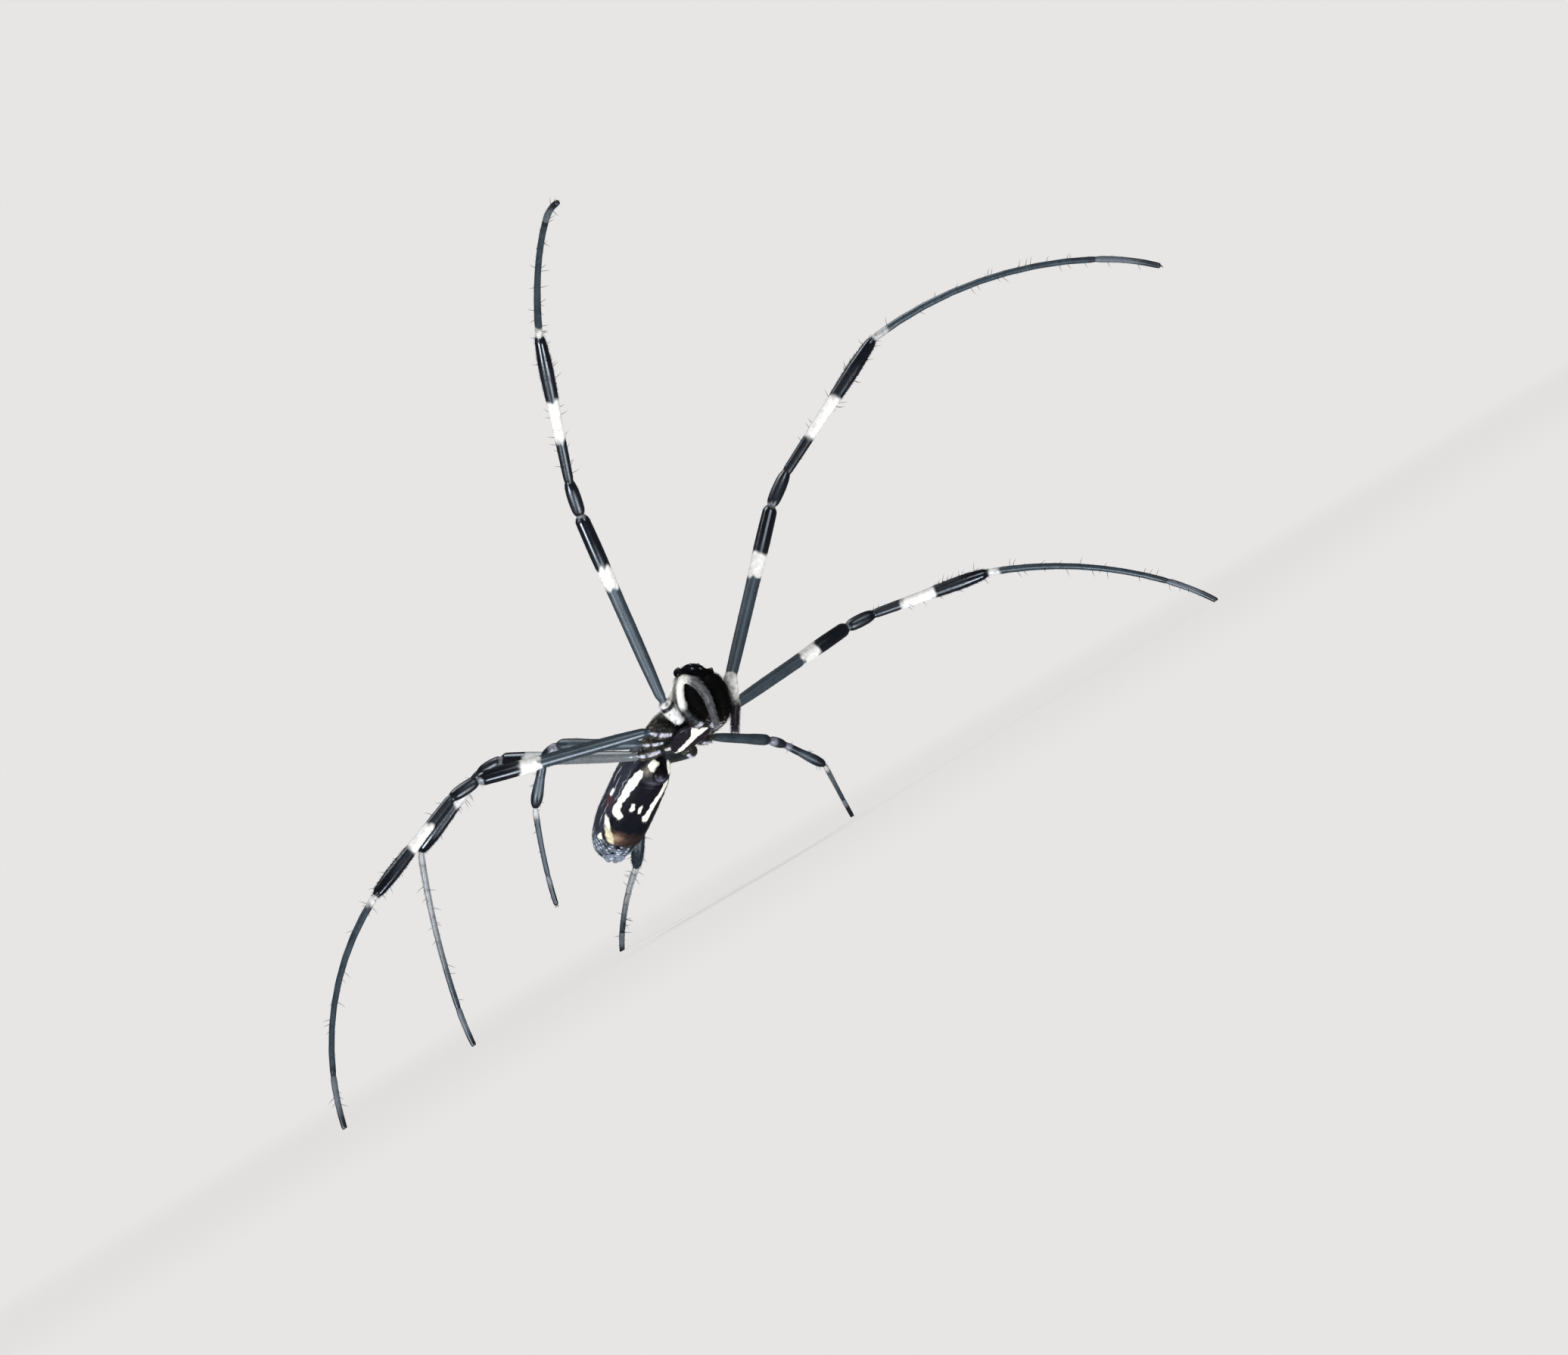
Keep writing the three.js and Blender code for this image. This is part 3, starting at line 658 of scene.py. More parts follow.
def leg_tones(name, segment, share, angle, points):
    """Tones of a leg by its segment, the share along it and the angle round it."""
    share = share + 0.012 * ripple(points, 0.9, SEED + 1)
    tones = varied(SLATE, points, 0.12, 1.6, SEED + 2)
    femur, patella, tibia, metatarsus, tarsus = [segment == i for i in range(5)]
    lines = fall(np.abs(np.sin(2.5 * angle + 0.4)), 0.22, 0.12)
    white = mix(WHITE, GREY_LINE, 0.3 * lines)
    if name[1] == "3":
        faded = metatarsus * fall(share, 0.55, 0.3) * step(share, 0.16, 0.06)
        layers = [
            (BLACK, 0.7 * femur * between(share, 0.86, 0.97, 0.03)),
            (DULL_LAVENDER, patella * fall(share, 0.4, 0.1)),
            (BLACK, 0.9 * patella * step(share, 0.4, 0.1)),
            (DULL_LAVENDER, tibia * fall(share, 0.13, 0.04)),
            (BLACK, 0.8 * tibia * between(share, 0.17, 0.34, 0.04)),
            (BLACK, 0.95 * tibia * step(share, 0.68, 0.1)),
            (white, 0.5 * metatarsus * fall(share, 0.14, 0.08)),
            (FOOT_GREY, (0.5 if name == "l3" else 0.15) * faded),
            (BLACK, 0.8 * metatarsus * step(share, 0.93, 0.04)),
            (FOOT_GREY, 0.7 * tarsus),
            (BLACK, tarsus * step(share, 0.32, 0.14)),
        ]
        return layered(tones, layers)
    if name in ("r2", "r4"):
        tones[:, 3] -= 0.16 * femur
    # Painted light and shade on the hind right leg: its white bands are dimmed as painted shade and its femur
    # is lightened as painted light from below
    if name == "r4":
        white = mix(white, (0.06, 0.07, 0.09, 0.5), 0.4)
        tones = mix(tones, (0.17, 0.18, 0.18, 0.3), 0.4 * femur)
    low, high, tibia_low, tibia_high = BANDS[name]
    layers = [
        (white, femur * between(share, low, high, 0.012)),
        (BLACK, femur * step(share, high, 0.012)),
        (BLACK, patella),
        (KNEE_SKIN, femur * step(share, 0.992, 0.004) + patella * fall(share, 0.05, 0.02)),
        (BLACK, (0.45 if name == "l4" else 1) * tibia),
        (white, tibia * between(share, tibia_low, tibia_high, 0.02)),
        (white, (0.45 if name == "l1" else 0.75) * metatarsus * fall(share, 0.065, 0.025)),
    ]
    if name[1] == "4":
        layers.append((mix(PALE_SHIN, SLATE, 0.7 * lines), 0.75 * metatarsus * fall(share, 0.6, 0.35)))
    layers.append((BLACK, 0.35 * bell(((share * 6) % 1 - 0.5) / 0.05) * metatarsus))
    tones = layered(tones, layers)
    shiny = (femur + patella + tibia) * step(share, 0.8, 0.1) * fall(share, 0.985, 0.01)
    tones[:, 3] -= 0.2 * shiny * (tones[:, 0] < 0.02) + 0.14 * metatarsus
    layers = [
        (BLACK, 0.8 * metatarsus * step(share, 0.96, 0.025)),
        (FOOT_GREY, 0.5 * tarsus),
        (BLACK, tarsus * step(share, 0.66, 0.18)),
    ]
    return layered(tones, layers)


def leg_of(name):
    """Stations along one leg: where it runs, how thick it is and which segment each is on."""
    coxa, root, sizes, girth = plan_of(name)
    girth = GIRTH_OF_R3 if name == "r3" else girth
    pose = POSES[name]
    start, inner = from_body(root), from_body(coxa)
    elevation = solved_start(start, sizes, pose) if stands(name) else pose[2][1]
    joints = leg_points(start, sizes, pose, elevation)
    neck = start + unit(inner - start) * 2 * ROOT_EASE
    eases = [0, ROOT_EASE, KNEE_EASE, KNEE_EASE, KNEE_EASE] + [BOW_EASE] * len(joints)
    line, lengths, corners = eased_path([neck] + joints, eases)
    ends = np.array([corners[i] for i in (0, 1, 2, 3, 3 + BOW_STEPS, 3 + BOW_STEPS + CURL_STEPS)])
    first = ends[0] - 0.6
    at = np.linspace(first, ends[-1], int((ends[-1] - first) / LEG_STEP))
    tip = ends[-1] - np.array([0.09, 0.05, 0.02, 0.0])
    at = np.append(at[at < tip[0]], tip)
    centres = np.stack([np.interp(at, lengths, line[:, k]) for k in range(3)], 1)
    segment = np.clip(np.searchsorted(ends, at, "right") - 1, 0, 4)
    share = np.clip((at - ends[segment]) / (ends[segment + 1] - ends[segment]), 0, 1)
    radius = np.empty(len(at))
    for i, girths in enumerate(GIRTHS):
        on = segment == i
        radius[on] = even(share[on], girths) * girth
    width = 0.2 + 0.08 * girth
    for end, depth in zip(ends, JOINT_DEPTHS):
        radius = radius * (1 - depth * bell((at - end) / width))
    rest = np.clip((ends[-1] - at) / (radius * 0.9), 0, 1)
    radius = radius * np.sqrt(np.maximum(0.01, 1 - (1 - rest) ** 2))
    return {"centres": centres, "at": at, "segment": segment, "share": share, "radius": radius}


def add_leg(name):
    leg = leg_of(name)
    rings, arms, tangents = tube(leg["centres"], leg["radius"], LEG_SIDES)
    if stands(name):
        rings[..., 2] = np.maximum(rings[..., 2], FLOOR_GAP)
    surface = loft(rings)
    segment = np.append(np.repeat(leg["segment"], LEG_SIDES), [0, 4])
    share = np.append(np.repeat(leg["share"], LEG_SIDES), [0, 1])
    angle = np.append(np.tile(full_turn(LEG_SIDES), len(leg["at"])), [0, 0])
    tones = leg_tones(name, segment, share, angle, surface[0])
    nodes = [name + "_" + part for part in SEGMENTS]
    make_piece("leg_" + name, surface, tones, LEG_CUTICLE, nodes)
    leg_hair(name, leg, arms, tangents)
    return leg


def leg_hair(name, leg, arms, tangents):
    """Fine hairs all over a leg, the black brush of the tibia, and sparse long spines."""
    draw = np.random.default_rng(SEED + 10 * int(name[1]) + side_of(name))
    at, segment = leg["at"], leg["segment"]
    weight = leg["radius"] * np.gradient(at)
    weight = weight / weight.sum()
    size = at[-1] - at[0]
    outer = weight * (segment >= 2)
    spines, spine_lengths = int(size * 0.7), (0.35, 0.6)
    batches = [(int(size * 44), weight, (0.2, 0.4), FINE_HAIR, (18, 42))]
    if name in BANDS:
        spines, spine_lengths = int(size), (0.6, 1.0)
        brush = weight * ((segment == 2) & (leg["share"] > BANDS[name][3]))
        batches.append((1000, brush / brush.sum(), (0.16, 0.34), 0.01, (34, 58)))
    batches.append((spines, outer / outer.sum(), spine_lengths, 0.028, (52, 84)))
    tufts = []
    for count, chance, lengths, radius, lifts in batches:
        i = draw.choice(len(weight), count, p=chance)
        j = draw.integers(0, LEG_SIDES, count)
        swing = draw.uniform(-0.13, 0.13, count)[:, None]
        out = unit(arms[i, j] + swing * np.cross(tangents[i], arms[i, j]))
        shift = draw.uniform(0, LEG_STEP, count)[:, None]
        root = leg["centres"][i] + out * leg["radius"][i][:, None] + tangents[i] * shift
        if stands(name):
            keep = root[:, 2] > 0.3 + lengths[1]
            i, j, out, root = i[keep], j[keep], out[keep], root[keep]
        # The hairs take the leg's tones, the painted light and shade of the hind right leg included
        tones = leg_tones(name, segment[i], leg["share"][i], full_turn(LEG_SIDES)[j], root)
        if radius > FINE_HAIR:
            tones[:] = SPINE_BLACK
        else:
            chance = np.interp(tones[:, 0], [0.012, 0.03, 0.11, 0.13], [0.3, 1, 1, 0.12])
            keep = draw.uniform(0, 1, len(i)) < chance
            i, j, out, root, tones = i[keep], j[keep], out[keep], root[keep], tones[keep]
        lie = tangents[i] + draw.normal(0, 0.16, (len(i), 3))
        spots = np.stack([at[i] / at[-1], j / LEG_SIDES], 1)
        tufts.append(tuft(draw, root, out, lie, lengths, radius, lifts, tones, spots))
    coat("hair_" + name, tufts)


def add_claws(legs):
    """Two curved claws and a small middle hook at the end of each foot."""
    form = Form()
    for leg in legs:
        tip = leg["centres"][-1]
        ahead = unit(tip - leg["centres"][-6])
        across = unit(np.cross(ahead, [0.3, 0.2, 1.0]))
        down = np.cross(across, ahead)
        down = down if down[2] < 0 else -down
        for lateral, size in ((-0.07, 1.0), (0.07, 1.0), (0.0, 0.6)):
            reach = 0.3 * size
            points = [
                tip - ahead * 0.12 + across * lateral,
                tip + ahead * reach * 0.4 + across * lateral * 1.5,
                tip + ahead * reach * 0.75 + down * reach * 0.35 + across * lateral * 1.6,
            ]
            surface, _ = limb(points, [0.045 * size, 0.035 * size, 0.01], 8, 8)
            surface[0][:, 2] = np.maximum(surface[0][:, 2], FLOOR_GAP)
            form.add(surface, (0.01, 0.008, 0.008, 0.3))
    form.make("claws", np.asarray, BODY_CUTICLE)


# Front body

SHIELD_KIND, BREAST_KIND, COXA_KIND, JAW_KIND, MOUTH_KIND, MOUND_KIND = range(6)


def shield_surface():
    """Head shield: low and broad behind, with a raised head, a middle pit and grooves that fan from it."""
    xs = np.linspace(SHIELD_X[0], SHIELD_X[-1], 110)
    half, top, bottom = [smooth(xs, SHIELD_X, ys)[:, None] for ys in (SHIELD_HALF, SHIELD_TOP, SHIELD_BOTTOM)]
    middle = bottom + SHIELD_EDGE
    cosines, sines = np.cos(full_turn(120)), np.sin(full_turn(120))
    y = half * (np.sign(cosines) * np.abs(cosines) ** SHIELD_POWER)
    z = np.where(sines > 0, top - middle, middle - bottom) * (np.sign(sines) * np.abs(sines) ** SHIELD_POWER)
    x = np.broadcast_to(xs[:, None], y.shape)
    away = np.hypot(x - SHIELD_PIT_X, y)
    fan = np.abs(np.sin(3 * np.arctan2(y, x - SHIELD_PIT_X)))
    groove = 0.13 * bell(fan / 0.2) * between(away, 0.5, 2.2, 0.3)
    pit = 0.3 * bell(away / 0.35)
    collar = 0.16 * bell((x - 1.1 + 0.35 * np.abs(y)) / 0.28)
    z = middle + z - (groove + pit + collar) * np.clip(sines, 0, 1)
    return loft(np.stack([x, y, z], -1))


def shield_tones(points):
    """Silvery hair on the thorax and sides, black on the head."""
    x, y, z = points[:, 0], np.abs(points[:, 1]), points[:, 2]
    head = step(x + 0.35 * y, 3.4, 0.35)
    side = step(y, 1.75, 0.2) * fall(x, 3.8, 0.2)
    edge = fall(z, 2.45, 0.25) * fall(x, 2.6, 0.3)
    layers = [
        ((0.013, 0.012, 0.010, 0.4), 0.9 * edge),
        # Painted highlights: scattered tan glints on the dark lower edge of the shield
        ((0.17, 0.14, 0.09, 0.45), 0.55 * edge * step(ripple(points, 0.5, SEED + 13), 0.9, 0.35)),
        (BLACK, head * (1 - 0.8 * side)),
        (BLACK, 0.85 * fall(z, 1.85, 0.12) * fall(x, 2.3, 0.3)),
    ]
    return layered(varied((0.36, 0.36, 0.33, 0.6), points, 0.25, 0.5, SEED + 3), layers)


def breast_outline(steps=14):
    """Heart-shaped outline of the breastplate, left side first."""
    half, wide = BREAST_HALF
    corners = [
        [[half, 0.5], [half, 0.9], [half * 0.75, wide * 0.8]],
        [[half * 0.75, wide * 0.8], [half * 0.3, wide * 1.15], [-half * 0.3, wide * 0.8]],
        [[-half * 0.3, wide * 0.8], [-half * 0.8, wide * 0.45], [-half, 0.2]],
    ]
    t = np.linspace(0, 1, steps, endpoint=False)[:, None]
    runs = [(1 - t) ** 2 * a + 2 * t * (1 - t) * b + t**2 * c for a, b, c in np.array(corners)]
    left = np.concatenate(runs + [np.array([[-half, 0.2]])])
    return np.concatenate([left, left[::-1] * [1, -1]])


def breast_surface():
    """Domed plate with a low bump beside each leg and a thin raised edge."""
    outline = breast_outline()
    rings = []
    for share in np.sin(np.linspace(0.02, math.pi / 2, 30)):
        flat = outline * share
        bumps = np.zeros(len(flat))
        for x, y in ((1.35, 1.15), (0.35, 1.25), (-0.8, 1.0), (-1.6, 0.55)):
            for side in (1, -1):
                near = np.hypot(flat[:, 0] - x, flat[:, 1] - side * y)
                bumps += 0.13 * bell(near / 0.26)
        rings.append(np.column_stack([flat, -0.2 + 0.26 * share**3 - bumps]))
    for share in (0.98, 0.5, 0.05):
        rings.append(np.column_stack([outline * share, np.full(len(outline), 0.4)]))
    return loft(np.array(rings))


def breast_tones(points):
    half = np.interp(points[:, 0], [-2.2, -1.2, 0.3, 0.9, 1.25, 2.05], [0.16, 0.27, 0.33, 0.3, 0.5, 0.88])
    wave = 0.03 * ripple(points, 0.6, SEED + 4)
    stripe = fall(np.abs(points[:, 1]) + wave, half, 0.05) * fall(points[:, 0], 2.12, 0.05)
    return mix(PURPLE, CREAM, stripe)


def coxa_limb(name):
    """Coxa with the small ring of the trochanter at its end."""
    inner, outer, _, girth = plan_of(name)
    ring = 1 - 0.72 / np.linalg.norm(outer - inner)
    radii = [radius * girth for radius in COXA_GIRTHS]
    surface, share = limb([inner, (inner + outer) / 2, outer], radii, 46, 36, (ring, 0.22), 0.17, 0.12)
    points = surface[0]
    if name[1] == "1":
        layers = [
            ((0.11, 0.085, 0.055, 0.4), 0.75 * step(ripple(points, 0.7, SEED + 15), 0.75, 0.35)),
            (BLACK, between(share, ring - 0.09, ring + 0.05, 0.025)),
        ]
        return surface, layered(varied((0.40, 0.41, 0.41, 0.45), points, 0.12, 0.5, SEED + 12), layers)
    axis = unit(outer - inner)
    arm = points - inner
    arm = unit(arm - np.outer(arm @ axis, axis))
    across = unit(np.cross(axis, COXA_SHEEN_SIDE))
    off = np.abs(arm @ across - 0.1)
    # Pale underside with a painted highlight: a lavender streak on the side of each coxa that faces one fixed
    # direction, before and after the trochanter ring
    pale_and_sheen_streak = step(arm @ unit(np.array(COXA_SHEEN_SIDE)), 0.4, 0.2) * fall(off, 0.27, 0.13)
    pale = np.maximum(between(share, 0.17, ring - 0.07, 0.06), step(share, ring + 0.03, 0.03))
    layers = [
        (BLACK, 0.8 * step(ripple(points, 1.3, SEED + 6), -0.3, 0.6)),
        # Painted highlights: scattered tan glints on the dark coxa
        ((0.15, 0.125, 0.085, 0.4), 0.5 * step(ripple(points, 0.6, SEED + 14), 1.1, 0.3)),
        (LAVENDER, pale * pale_and_sheen_streak * (0.85 + 0.3 * ripple(points, 0.5, SEED + 8)).clip(0, 1)),
    ]
    return surface, layered(OLIVE, layers)


def add_front():
    """Shield, breastplate, coxae, jaws, mouth plates and eye mounds as one skin."""
    form = Form()
    shield = shield_surface()
    form.add(shield, shield_tones(shield[0]), SHIELD_KIND)
    form.add(ellipsoid([-0.2, 0, 1.75], [3.3, 1.55, 1.1], 40, 60), BLACK, BREAST_KIND)
    pedicel, _ = limb([[-3.2, 0, 1.75], [-5.4, 0, 1.7]], [0.45, 0.45], 16, 24)
    form.add(pedicel, OLIVE, BREAST_KIND)
    plate = breast_surface()
    form.add(plate, breast_tones(plate[0]), BREAST_KIND)
    form.add(ellipsoid([2.78, 0, 0.04], [0.42, 0.5, 0.24], 18, 28), PURPLE, MOUTH_KIND)
    for name in POSES:
        form.add(*coxa_limb(name), COXA_KIND)
    for side in (1, -1):
        jaw, _ = limb(mirrored(JAW, side), JAW_RADII, 60, 44)
        jaw[0][:, 1] = side * np.maximum(side * jaw[0][:, 1], 0.05)
        form.add(jaw, SOOT, JAW_KIND)
        lobe, share = limb(mirrored(LOBE, side), [0.42, 0.46, 0.36], 24, 24)
        # Painted highlight: pale lavender glints along the lower side of each mouth lobe, toward its tip
        painted_glint = between(share, 0.45, 0.9, 0.1) * step(-lobe[0][:, 2], 0.25, 0.12)
        form.add(lobe, mix(PURPLE, LAVENDER, 0.75 * painted_glint), MOUTH_KIND)
        form.add(ellipsoid(mirrored(PALP_ROOT[1], side), [0.5, 0.5, 0.5]), SOOT, MOUTH_KIND)
        form.add(ellipsoid(mirrored(SIDE_MOUND["place"], side), SIDE_MOUND["radii"]), BLACK, MOUND_KIND)
    form.add(ellipsoid(EYE_MOUND["place"], EYE_MOUND["radii"]), BLACK, MOUND_KIND)
    (local, faces, none), normals, tones, kinds = fused(form)
    replaced = ["prosoma", "sternum", "chelicera_left", "chelicera_right"]
    replaced += [name + "_coxa" for name in POSES]
    matte = (kinds == JAW_KIND) | (kinds == MOUND_KIND) | ((kinds == SHIELD_KIND) & (local[:, 0] > 3.3))
    patch = (JAW_CUTICLE, matte[faces[:, 0]])
    surface = (from_body(local), faces, none)
    make_piece("front_body", surface, tones, BODY_CUTICLE, replaced, None, patch)
    front_hair(local, normals, tones, kinds)


def front_hair(local, normals, tones, kinds):
    """White down on the shield, dark bristles on the jaws, and sparse hairs on the rest."""
    draw = np.random.default_rng(SEED + 90)
    shield, jaw = kinds == SHIELD_KIND, kinds == JAW_KIND
    pale = shield & (tones[:, 0] > 0.15)
    # Way that the hairs lie, points that may carry them, count, lengths, radius, lifts and tone
    sorts = [
        ("back", pale, 8100, (0.22, 0.42), 0.011, (14, 32), (0.72, 0.72, 0.68, 0.6)),
        ("back", shield & ~pale, 900, (0.3, 0.5), 0.012, (30, 55), (0.02, 0.02, 0.02, 0.4)),
        ("down", jaw, 5200, (0.3, 0.55), 0.012, (22, 50), (0.003, 0.0025, 0.0025, 0.6)),
        ("down", jaw & (local[:, 2] < 0.3), 420, (0.5, 0.95), 0.015, (30, 60), (0.005, 0.004, 0.004, 0.5)),
        ("out", kinds == COXA_KIND, 3800, (0.2, 0.42), 0.011, (20, 42), (0.3, 0.3, 0.28, 0.5)),
        ("back", kinds == BREAST_KIND, 700, (0.2, 0.36), 0.010, (25, 45), (0.035, 0.03, 0.035, 0.4)),
        ("back", kinds == MOUTH_KIND, 700, (0.25, 0.5), 0.011, (25, 55), (0.02, 0.018, 0.02, 0.4)),
    ]
    tufts = []
    for way, chosen, count, lengths, radius, lifts, tone in sorts:
        places = np.flatnonzero(chosen)
        i = draw.choice(places, min(count, len(places)), replace=False)
        x, y, z = local[i].T
        ones = np.ones(len(i))
        lie = {
            "back": np.stack([-ones, 0.25 * y, -0.35 * ones], 1),
            "down": np.stack([0.15 * ones, 0 * ones, -ones], 1),
            "out": np.stack([0.2 * x, np.sign(y), 0.4 * ones], 1),
        }[way]
        lie = lie + draw.normal(0, 0.25, (len(i), 3))
        shade = np.array(tone) * draw.uniform(0.7, 1.15, (len(i), 1))
        # Coxa hairs take the skin's tones beneath them, painted highlights included
        if way == "out":
            shade[:, :3] = tones[i, :3] * 0.8 + 0.02
        spots = np.stack([(x + 6) / 13, (np.arctan2(y, z - 1.8) + math.pi) / WIDE_TURN], 1)
        root, out = from_body(local[i]), normals[i] @ BODY.T
        tufts.append(tuft(draw, root, out, lie @ BODY.T, lengths, radius, lifts, shade, spots))
    coat("hair_front", tufts)


def add_eyes():
    """Four middle eyes and two at each side, each a clear dome."""
    form = Form()
    out = SIDE_MOUND["out"]
    for side in (-1, 1):
        middle = np.array(EYE_MOUND["place"]) + [EYE_MOUND["face"], side * EYE_MOUND["spread"], 0]
        lateral = mirrored(SIDE_MOUND["place"], side) + [out, side * out * 0.5, 0]
        for centre, x, z in ((middle, -0.06, EYE_MOUND["rise"]), (lateral, 0.06, SIDE_MOUND["spread"])):
            for up in (-1, 1):
                form.add(ellipsoid(centre + [up * x, 0, up * z], [EYE_RADIUS] * 3, 24, 32), EYE_BLACK)
    form.make("eyes", from_body, EYE, ["eyes_median", "eyes_lateral_left", "eyes_lateral_right"])


def add_fangs():
    form = Form()
    for side in (1, -1):
        surface, share = limb(mirrored(FANG, side), FANG_RADII, 30, 20)
        form.add(surface, mix(*FANG_TONES, step(share, 0.75, 0.2)))
    form.make("fangs", from_body, BODY_CUTICLE)


def add_palp(side):
    """Pale feeler with short joints, a sooty base and its own tone at the end, and its hairs."""
    name, palp = "left" if side > 0 else "right", PALPS[side]
    points = mirrored(PALP_ROOT + palp["reach"], side)
    surface, share = limb(points, palp["radii"], 170, 30, palp["joints"], 0.14, 0.13)
    local = surface[0]
    end, end_tone = palp["end"]
    layers = [
        ((0.17, 0.16, 0.19, 0.4), palp["mottle"] * step(ripple(local, 0.5, SEED + 11), 0.5, 0.5)),
        (SOOT, fall(share, PALP_BASE, 0.03)),
        (end_tone, step(share + 0.01 * ripple(local, 0.5, 9), end, 0.05)),
    ]
    if name == "right":
        layers.append(((0.05, 0.05, 0.06, 0.42), 0.75 * step(share, 0.92, 0.08)))
    tones = layered(varied(WHITE, local, 0.1, 0.7, SEED + 7), layers)
    surface = (from_body(local), *surface[1:])
    make_piece("palp_skin_" + name, surface, tones, LEG_CUTICLE, ["palp_" + name])
    draw = np.random.default_rng(SEED + 60 + side)
    stations = 400
    shares = np.linspace(0, 1, stations)
    centres = curve_through(points, shares)
    tangents, normals, across = frames_along(centres)
    runs = (60, 1500), (int(stations * end), 900)
    i = np.concatenate([draw.integers(first, stations - 1, count) for first, count in runs])
    angle = draw.uniform(0, 2 * math.pi, len(i))
    out = normals[i] * np.cos(angle)[:, None] + across[i] * np.sin(angle)[:, None]
    root = centres[i] + out * (even(shares[i], palp["radii"]) * 0.97)[:, None]
    dark = step(shares[i], end, 0.03)
    layers = [(np.array(end_tone) * 0.7, dark), (SOOT, fall(shares[i], PALP_BASE, 0.03))]
    shade = layered((0.6, 0.6, 0.57, 0.55), layers)
    root, out = from_body(root), out @ BODY.T
    lie = (tangents[i] + draw.normal(0, 0.15, (len(i), 3))) @ BODY.T
    spots = np.stack([shares[i], angle / WIDE_TURN], 1)
    hairs = tuft(draw, root, out, lie, (0.22, 0.4), 0.011, (20, 45), shade, spots, 1 + 0.8 * dark)
    coat("hair_palp_" + name, [hairs])


# Abdomen

# Marks of the belly and flanks: stations in mm behind the front, the middle of each mark in degrees
# from the belly's middle line, left positive, and its half width in degrees
RIGHT_STRIPE = (
    [1.3, 1.66, 2.4, 3.4, 4.5, 5.3, 5.85, 6.2, 6.65],
    [-35, -36.5, -40.5, -44, -46.5, -48, -47, -43, -42],
    [5, 9, 10, 9.5, 7.5, 6.3, 8, 12.5, 9],
)
LEFT_STRIPE = (
    [2.2, 2.8, 3.5, 4.1, 4.8, 5.4, 5.9, 6.35],
    [49, 44, 35, 29, 25, 23.5, 22, 24],
    [7, 9, 9, 7.5, 6.5, 6.5, 9, 6],
)
# Front patches, belly spots and flank spots: centre on the chart, radii in mm along and across, and tone
OVAL_MARKS = [
    ([0.55, -4], [0.4, 0.85], CREAM),
    ([0.95, 60], [0.6, 0.7], CREAM),
    ([5.0, -18.5], [0.42, 0.21], CREAM),
    ([5.0, -1.5], [0.45, 0.14], CREAM),
    ([4.95, -78], [0.42, 0.2], (0.62, 0.64, 0.66, 0.4)),
    ([9.75, -60], [0.3, 0.3], CREAM),
]


def blunt(at):
    power = np.where(at < 0.5, *ABDOMEN_BLUNT)
    return (1 - np.abs(2 * at - 1) ** power) ** (1 / power)


def arc_mm(degrees):
    return np.radians(degrees) * ABDOMEN_BELLY


def oval(x, v, centre, radii):
    """1 inside an oval on the abdomen's chart and 0 outside."""
    reach = np.hypot((x - centre[0]) / radii[0], arc_mm(v - centre[1]) / radii[1])
    return fall(reach, 1, 0.05 / min(radii))


def haze(x, v, centre, radii):
    """Soft spot on the abdomen's chart."""
    return np.exp(-(((x - centre[0]) / radii[0]) ** 2) - (arc_mm(v - centre[1]) / radii[1]) ** 2)


def stripe(x, v, shape):
    xs, middles, halves = shape
    at = np.clip(x, xs[0], xs[-1])
    away = np.abs(arc_mm(v - smooth(at, xs, middles)))
    inside = fall(away, arc_mm(smooth(at, xs, halves)), 0.06)
    return inside * between(x, xs[0] - 0.1, xs[-1] + 0.1, 0.08)


